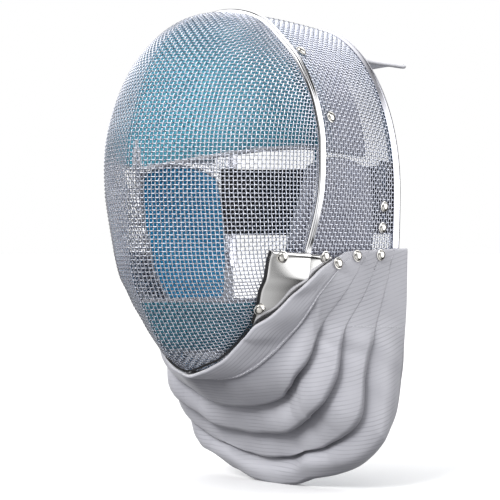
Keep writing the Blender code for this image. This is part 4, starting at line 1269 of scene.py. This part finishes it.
def build_edge_cord(material):
    """Dark binding along the bowl's lower edge, laid on the bowl above the bib's edge: a round section carried
    along it."""
    edge, below = bib_base(np.linspace(0, BINDING_END, 80), np.array([0, 0.5])).transpose(1, 0, 2)
    at = eye_direction(edge + unit(edge - below) * BINDING_INWARD)
    path = eye_point(at) + eye_normal(at) * BINDING_LIFT
    path[0, 0] = 0
    path = evenly(whole(path), 200)
    along = unit(np.gradient(path, axis=0))
    out = eye_normal(eye_direction(path))
    rings = carried(path, out, unit(np.cross(along, out)), round_section(BINDING_RADIUS, 12))
    return closed_tube("jaw_binding", rings, material)


# ---------------------------------------------------------------- materials

def new_material(name):
    """Material with a Principled shader: the material, its node tree and the shader."""
    made = bpy.data.materials.new(name)
    made.use_nodes = True
    tree = made.node_tree
    tree.nodes.clear()
    shader = tree.nodes.new("ShaderNodeBsdfPrincipled")
    output = tree.nodes.new("ShaderNodeOutputMaterial")
    tree.links.new(shader.outputs["BSDF"], output.inputs["Surface"])
    return made, tree, shader


def set_inputs(node, **values):
    """Constants on a node's own sockets, named with _ for a space."""
    for key, value in values.items():
        node.inputs[key.replace("_", " ")].default_value = value


def noise(tree, vector, scale, detail=3.0):
    """Noise texture over a vector."""
    node = tree.nodes.new("ShaderNodeTexNoise")
    set_inputs(node, Scale=scale, Detail=detail)
    tree.links.new(vector, node.inputs["Vector"])
    return node.outputs["Fac"]


def ramp(tree, value, stops):
    """Colour by value, through stops of (place, colour)."""
    node = tree.nodes.new("ShaderNodeValToRGB")
    elements = node.color_ramp.elements
    for element, (place, colour) in zip(elements, (stops[0], stops[-1])):
        element.position = place
        element.color = (*colour, 1)
    for place, colour in stops[1:-1]:
        elements.new(place).color = (*colour, 1)
    tree.links.new(value, node.inputs["Fac"])
    return node.outputs["Color"]


def clouded(tree, shader, cloud, dark, light):
    """Base colour between dark and light, by a cloud of noise."""
    tree.links.new(ramp(tree, cloud, [(0.3, dark), (0.7, light)]), shader.inputs["Base Color"])


def spread(tree, value, low, high, new_low, new_high):
    """Value brought from the span low..high to the span new_low..new_high, and held at its ends."""
    node = tree.nodes.new("ShaderNodeMapRange")
    set_inputs(node, From_Min=low, From_Max=high, To_Min=new_low, To_Max=new_high)
    tree.links.new(value, node.inputs["Value"])
    return node.outputs["Result"]


def maths(tree, kind, *values):
    """Math node on sockets and numbers."""
    node = tree.nodes.new("ShaderNodeMath")
    node.operation = kind
    for socket, value in zip(node.inputs, values):
        if isinstance(value, (int, float)):
            socket.default_value = value
        else:
            tree.links.new(value, socket)
    return node.outputs[0]


def tinted(tree, factor, colour, tint):
    """Colour mixed with a constant tint by a factor."""
    node = tree.nodes.new("ShaderNodeMix")
    node.data_type = "RGBA"
    tree.links.new(factor, node.inputs["Factor"])
    tree.links.new(colour, node.inputs[6])
    node.inputs[7].default_value = (*tint, 1)
    return node.outputs[2]


def bump(tree, shader, height, strength, distance):
    """Relief from a height, in the shader's normal."""
    node = tree.nodes.new("ShaderNodeBump")
    set_inputs(node, Strength=strength, Distance=distance)
    tree.links.new(height, node.inputs["Height"])
    tree.links.new(node.outputs["Normal"], shader.inputs["Normal"])


def object_place(tree):
    """Place on the piece, in metres."""
    return tree.nodes.new("ShaderNodeTexCoord").outputs["Object"]


def axis_of(tree, vector, axis):
    """One coordinate of a vector."""
    split = tree.nodes.new("ShaderNodeSeparateXYZ")
    tree.links.new(vector, split.inputs[0])
    return split.outputs[axis]


def metal(name, dark, light, rough_low, rough_high, scale=60.0, grain=0.0):
    """Metal whose tint and polish wander with soft noise, and whose grain is fine noise in its bump."""
    made, tree, shader = new_material(name)
    place = object_place(tree)
    cloud = noise(tree, place, scale)
    clouded(tree, shader, cloud, dark, light)
    tree.links.new(spread(tree, cloud, 0.3, 0.7, rough_low, rough_high), shader.inputs["Roughness"])
    set_inputs(shader, Metallic=1.0)
    if grain:
        bump(tree, shader, noise(tree, place, 2600.0, 2.0), grain, 0.00005)
    return made


LAME_DARK = (0.50, 0.50, 0.54)
LAME_LIGHT = (0.565, 0.565, 0.605)
THREAD_TINT = (0.21, 0.21, 0.245)
THREAD_SHARE = 0.55
THREAD_WIDTH = 0.16
# Colour of the painted shade in the valleys under the folds
CREASE_SHADE_TINT = (0.12, 0.12, 0.145)


def lame(name):
    """Silver-grey cloth: fine weave, darker threads along the map's second axis, a soft metal sheen, and painted
    shade where the piece's crease attribute marks the valley under a fold."""
    made, tree, shader = new_material(name)
    uv = tree.nodes.new("ShaderNodeUVMap").outputs["UV"]
    place = object_place(tree)
    wander = maths(tree, "MULTIPLY", noise(tree, place, 9.0, 2.0), 1.1)
    line = maths(tree, "FRACT", maths(tree, "ADD", axis_of(tree, uv, "Y"), wander))
    crest = maths(tree, "ABSOLUTE", maths(tree, "SUBTRACT", line, 0.5))
    thread = spread(tree, crest, 0.0, THREAD_WIDTH, 1.0, 0.0)
    broken = spread(tree, noise(tree, place, 38.0, 2.0), 0.35, 0.65, 0.15, 1.0)
    dark = maths(tree, "MULTIPLY", thread, broken)
    base = ramp(tree, noise(tree, place, 24.0), [(0.3, LAME_DARK), (0.7, LAME_LIGHT)])
    striped = tinted(tree, maths(tree, "MULTIPLY", dark, THREAD_SHARE), base, THREAD_TINT)
    # Painted shade: the base colour is mixed towards the shade tint by the crease attribute
    crease = tree.nodes.new("ShaderNodeAttribute")
    crease.attribute_name = "crease"
    tree.links.new(tinted(tree, crease.outputs["Fac"], striped, CREASE_SHADE_TINT), shader.inputs["Base Color"])
    set_inputs(shader, Roughness=0.58, Metallic=0.12, Sheen_Weight=0.25)
    weave = maths(tree, "MULTIPLY", noise(tree, place, 1500.0, 2.0), 0.4)
    bump(tree, shader, maths(tree, "SUBTRACT", weave, dark), 0.5, 0.00012)
    return made


def knit(name, dark, light, sheen=0.3, rough=0.85, scale=900.0):
    """Soft brushed cloth: its colour clouds a little, its nap is fine noise."""
    made, tree, shader = new_material(name)
    place = object_place(tree)
    clouded(tree, shader, noise(tree, place, 30.0, 4.0), dark, light)
    set_inputs(shader, Roughness=rough, Sheen_Weight=sheen)
    bump(tree, shader, noise(tree, place, scale), 0.5, 0.0002)
    return made


RIB_TURN = 3900.0


def elastic(name):
    """Black elastic: close ribs along the band, a sine of the height."""
    made, tree, shader = new_material(name)
    place = object_place(tree)
    rib = maths(tree, "SINE", maths(tree, "MULTIPLY", axis_of(tree, place, "Z"), RIB_TURN))
    clouded(tree, shader, noise(tree, place, 45.0), (0.010, 0.010, 0.012), (0.02, 0.02, 0.024))
    set_inputs(shader, Roughness=0.8, Sheen_Weight=0.15)
    bump(tree, shader, maths(tree, "ADD", rib, noise(tree, place, 1800.0, 2.0)), 0.6, 0.0002)
    return made


def studio_paint(name, colour, rough):
    """Near-flat paint for the floor, with the faintest of clouds."""
    made, tree, shader = new_material(name)
    clouded(tree, shader, noise(tree, object_place(tree), 3.0), tuple(0.985 * part for part in colour), colour)
    set_inputs(shader, Roughness=rough)
    return made


# ---------------------------------------------------------------- the whole

wire_steel = metal("bright_wire", (0.66, 0.69, 0.78), (0.78, 0.80, 0.88), 0.09, 0.17, 90.0)
strip_chrome = metal("chrome_strip", (0.78, 0.78, 0.80), (0.86, 0.86, 0.88), 0.05, 0.10, 40.0)
band_steel = metal("satin_band", (0.66, 0.66, 0.72), (0.76, 0.76, 0.82), 0.24, 0.36, 60.0, 0.1)
plate_steel = metal("polished_plate", (0.72, 0.715, 0.71), (0.79, 0.785, 0.78), 0.12, 0.20, 30.0, 0.05)
rivet_nickel = metal("rivet_nickel", (0.72, 0.70, 0.66), (0.80, 0.78, 0.74), 0.05, 0.11, 120.0)
bib_lame = lame("silver_lame")
bib_lining = knit("bib_lining", (0.62, 0.62, 0.65), (0.72, 0.72, 0.75))
stitch_thread = knit("stitch_thread", (0.60, 0.60, 0.63), (0.72, 0.72, 0.75), 0.2, 0.7, 3000.0)
# Black cloth of the jaw binding, also used for the painted shadow strips under the plates
edge_dark = knit("edge_binding_and_shadow_strip", (0.010, 0.010, 0.012), (0.022, 0.022, 0.025), 0.1, 0.7)
pad_blue = knit("pad_blue", (0.015, 0.37, 0.72), (0.03, 0.49, 0.88))
pad_teal = knit("pad_teal", (0.06, 0.31, 0.42), (0.11, 0.42, 0.54))
pad_back = knit("pad_back", (0.66, 0.65, 0.71), (0.76, 0.75, 0.80))
pad_edge = knit("pad_edge", (0.50, 0.50, 0.53), (0.62, 0.62, 0.65), 0.2, 0.7)
strap_black = elastic("strap_elastic")
tongue_top = knit("tongue_cover", (0.70, 0.70, 0.73), (0.80, 0.80, 0.82), 0.2, 0.6)
# The tongue's underside: a lavender lining, painted paler than the cover as painted light from below
tongue_under_painted_light = knit("tongue_lining_painted_light", (0.86, 0.85, 0.89), (0.93, 0.92, 0.96), 0.3, 0.8)

for piece in build_face_wires(wire_steel):
    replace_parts(piece, "face_mesh")
for piece in build_side_wires(wire_steel):
    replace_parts(piece, "side_mesh")
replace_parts(build_seam_strip(strip_chrome), "seam_trim")
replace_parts(build_rim_band(band_steel), "rear_rim")
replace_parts(build_cheek_plate("cheek_plate_shell_left", 1, plate_steel), "cheek_plate_left")
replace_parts(build_cheek_plate("cheek_plate_shell_right", -1, plate_steel), "cheek_plate_right")
# Black strips painted as the shadow under each plate's front edge
for word, side in SIDES:
    build_plate_shadow_strip(f"plate_shadow_strip_{word}", side, edge_dark)
build_rivets(rivet_nickel)
bib, *bib_face = build_bib([bib_lame, bib_lining])
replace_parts(bib, "bib")
build_stitch_rows(*bib_face, stitch_thread)
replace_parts(build_edge_cord(edge_dark), "jaw_seam")
crown_pad = build_crown_pad([pad_back, pad_teal], pad_edge)
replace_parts(crown_pad, "crown_pad")
for word, side in SIDES:
    pad = build_side_pad(word, side, [pad_back, pad_blue], pad_edge)
    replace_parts(pad, f"side_pad_{word}")
chin_pad = build_chin_pad([pad_teal, pad_teal], pad_edge)
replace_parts(chin_pad, "chin_pad")
strap, strap_length = build_strap(strap_black)
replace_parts(strap, "back_strap")
tongue = build_tongue([tongue_top, tongue_under_painted_light], pad_edge)
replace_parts(tongue, "tongue")


# ---------------------------------------------------------------- floor, light and camera

FLOOR_LEVEL = -0.3635
FLOOR_REACH = 60.0


def build_floor(material):
    """Pale floor: one square just under the hem. Its light doesn't bounce on to cloth, which keeps the folds'
    shade, or show in metal."""
    corners = FLOOR_REACH * np.array([(-1, -1), (1, -1), (1, 1), (-1, 1)], float)
    mesh = bpy.data.meshes.new("floor")
    mesh.from_pydata(np.column_stack([corners, np.full(4, FLOOR_LEVEL)]).tolist(), [], [(0, 1, 2, 3)])
    mesh.materials.append(material)
    floor = bpy.data.objects.new("floor", mesh)
    bpy.context.scene.collection.objects.link(floor)
    floor.visible_diffuse = False
    floor.visible_glossy = False


def area_light(name, place, target, size, power):
    """Square lamp aimed at a target, not mirrored by metal."""
    lamp = bpy.data.lights.new(name, "AREA")
    lamp.shape = "RECTANGLE"
    lamp.size = size
    lamp.size_y = size
    lamp.energy = power
    holder = bpy.data.objects.new(name, lamp)
    bpy.context.scene.collection.objects.link(holder)
    holder.location = place
    holder.visible_glossy = False
    holder.rotation_euler = (Vector(target) - Vector(place)).to_track_quat("-Z", "Y").to_euler()


# Soft boxes round the studio: azimuth and elevation in degrees, inner and outer half angle, brightness
SOFT_BOXES = [
    (-46.0, 22.0, 14.0, 28.0, 2.8),
    (10.0, 62.0, 12.0, 26.0, 4.0),
    (33.0, -16.0, 4.0, 24.0, 0.9),
    (62.0, -48.0, 8.0, 46.0, 0.8),
    (96.0, 40.0, 8.0, 20.0, 2.0),
    (60.0, 4.0, 8.0, 48.0, 0.4),
    (124.0, 6.0, 14.0, 36.0, 3.0),
    (200.0, 45.0, 14.0, 34.0, 1.6),
    (255.0, 20.0, 14.0, 34.0, 1.2),
]
STUDIO_DARK = 0.035
SKY_STRENGTH = 1.65
# Sky that lights the cloth, from straight down to straight up
SKY = [(0.0, (0.17, 0.17, 0.18)), (0.5, (0.27, 0.27, 0.28)), (0.7, (0.52, 0.52, 0.53)), (1.0, (1.0, 1.0, 1.0))]
WHITE = (1.0, 1.0, 1.0, 1.0)


def background(tree):
    """White background shader of strength one."""
    node = tree.nodes.new("ShaderNodeBackground")
    set_inputs(node, Color=WHITE)
    return node


def chosen(tree, mark, without, with_mark):
    """One shader for the rays that a mark names, another for the rest."""
    node = tree.nodes.new("ShaderNodeMixShader")
    for socket, link in zip(node.inputs, (mark, without, with_mark)):
        tree.links.new(link, socket)
    return node.outputs[0]


def studio_world():
    """White backdrop; cloth is lit by a sky that is bright overhead and dim below; metal mirrors a dark studio
    with round soft boxes, each a straight ramp of the cosine between a ray and the middle of the box."""
    world = bpy.data.worlds.new("studio")
    bpy.context.scene.world = world
    world.use_nodes = True
    tree = world.node_tree
    tree.nodes.clear()
    ray = tree.nodes.new("ShaderNodeTexCoord").outputs["Generated"]
    path = tree.nodes.new("ShaderNodeLightPath")
    glow = STUDIO_DARK
    for azimuth, elevation, inner, outer, bright in SOFT_BOXES:
        turn, rise = math.radians(azimuth), math.radians(elevation)
        dot = tree.nodes.new("ShaderNodeVectorMath")
        dot.operation = "DOT_PRODUCT"
        dot.inputs[1].default_value = (math.sin(turn) * math.cos(rise), -math.cos(turn) * math.cos(rise),
                                       math.sin(rise))
        tree.links.new(ray, dot.inputs[0])
        edge, core = math.cos(math.radians(outer)), math.cos(math.radians(inner))
        glow = maths(tree, "ADD", spread(tree, dot.outputs["Value"], edge, core, 0.0, bright), glow)
    lit, mirrored, backdrop = (background(tree) for use in ("cloth", "metal", "camera"))
    sky = ramp(tree, spread(tree, axis_of(tree, ray, "Z"), -1.0, 1.0, 0.0, 1.0), SKY)
    tree.links.new(sky, lit.inputs["Color"])
    set_inputs(lit, Strength=SKY_STRENGTH)
    tree.links.new(glow, mirrored.inputs["Strength"])
    seen = chosen(tree, path.outputs["Is Glossy Ray"], lit.outputs[0], mirrored.outputs[0])
    seen = chosen(tree, path.outputs["Is Camera Ray"], seen, backdrop.outputs[0])
    tree.links.new(seen, tree.nodes.new("ShaderNodeOutputWorld").inputs["Surface"])


KEY_PLACE = (0.3, -1.68, 0.74)
KEY_SIZE = 0.6
KEY_POWER = 33.0
MASK_MIDDLE = (0.0, 0.0, -0.17)

build_floor(studio_paint("pale_floor", (0.96, 0.96, 0.96), 1.0))
studio_world()
bpy.context.scene.view_settings.view_transform = "Standard"
area_light("key", KEY_PLACE, MASK_MIDDLE, KEY_SIZE, KEY_POWER)

AZIMUTH = math.radians(42.5)
DISTANCE = 1.3
camera_data = bpy.data.cameras.new("camera")
camera_data.sensor_width = 36.0
camera_data.lens = 114.15
camera_data.shift_x = -0.04
camera_data.clip_end = FLOOR_REACH
camera = bpy.data.objects.new("camera", camera_data)
bpy.context.scene.collection.objects.link(camera)
camera.location = (DISTANCE * math.sin(AZIMUTH), -DISTANCE * math.cos(AZIMUTH), -HEAD_SEAT * MM)
camera.rotation_euler = (math.pi / 2, 0.0, AZIMUTH)
bpy.context.scene.camera = camera
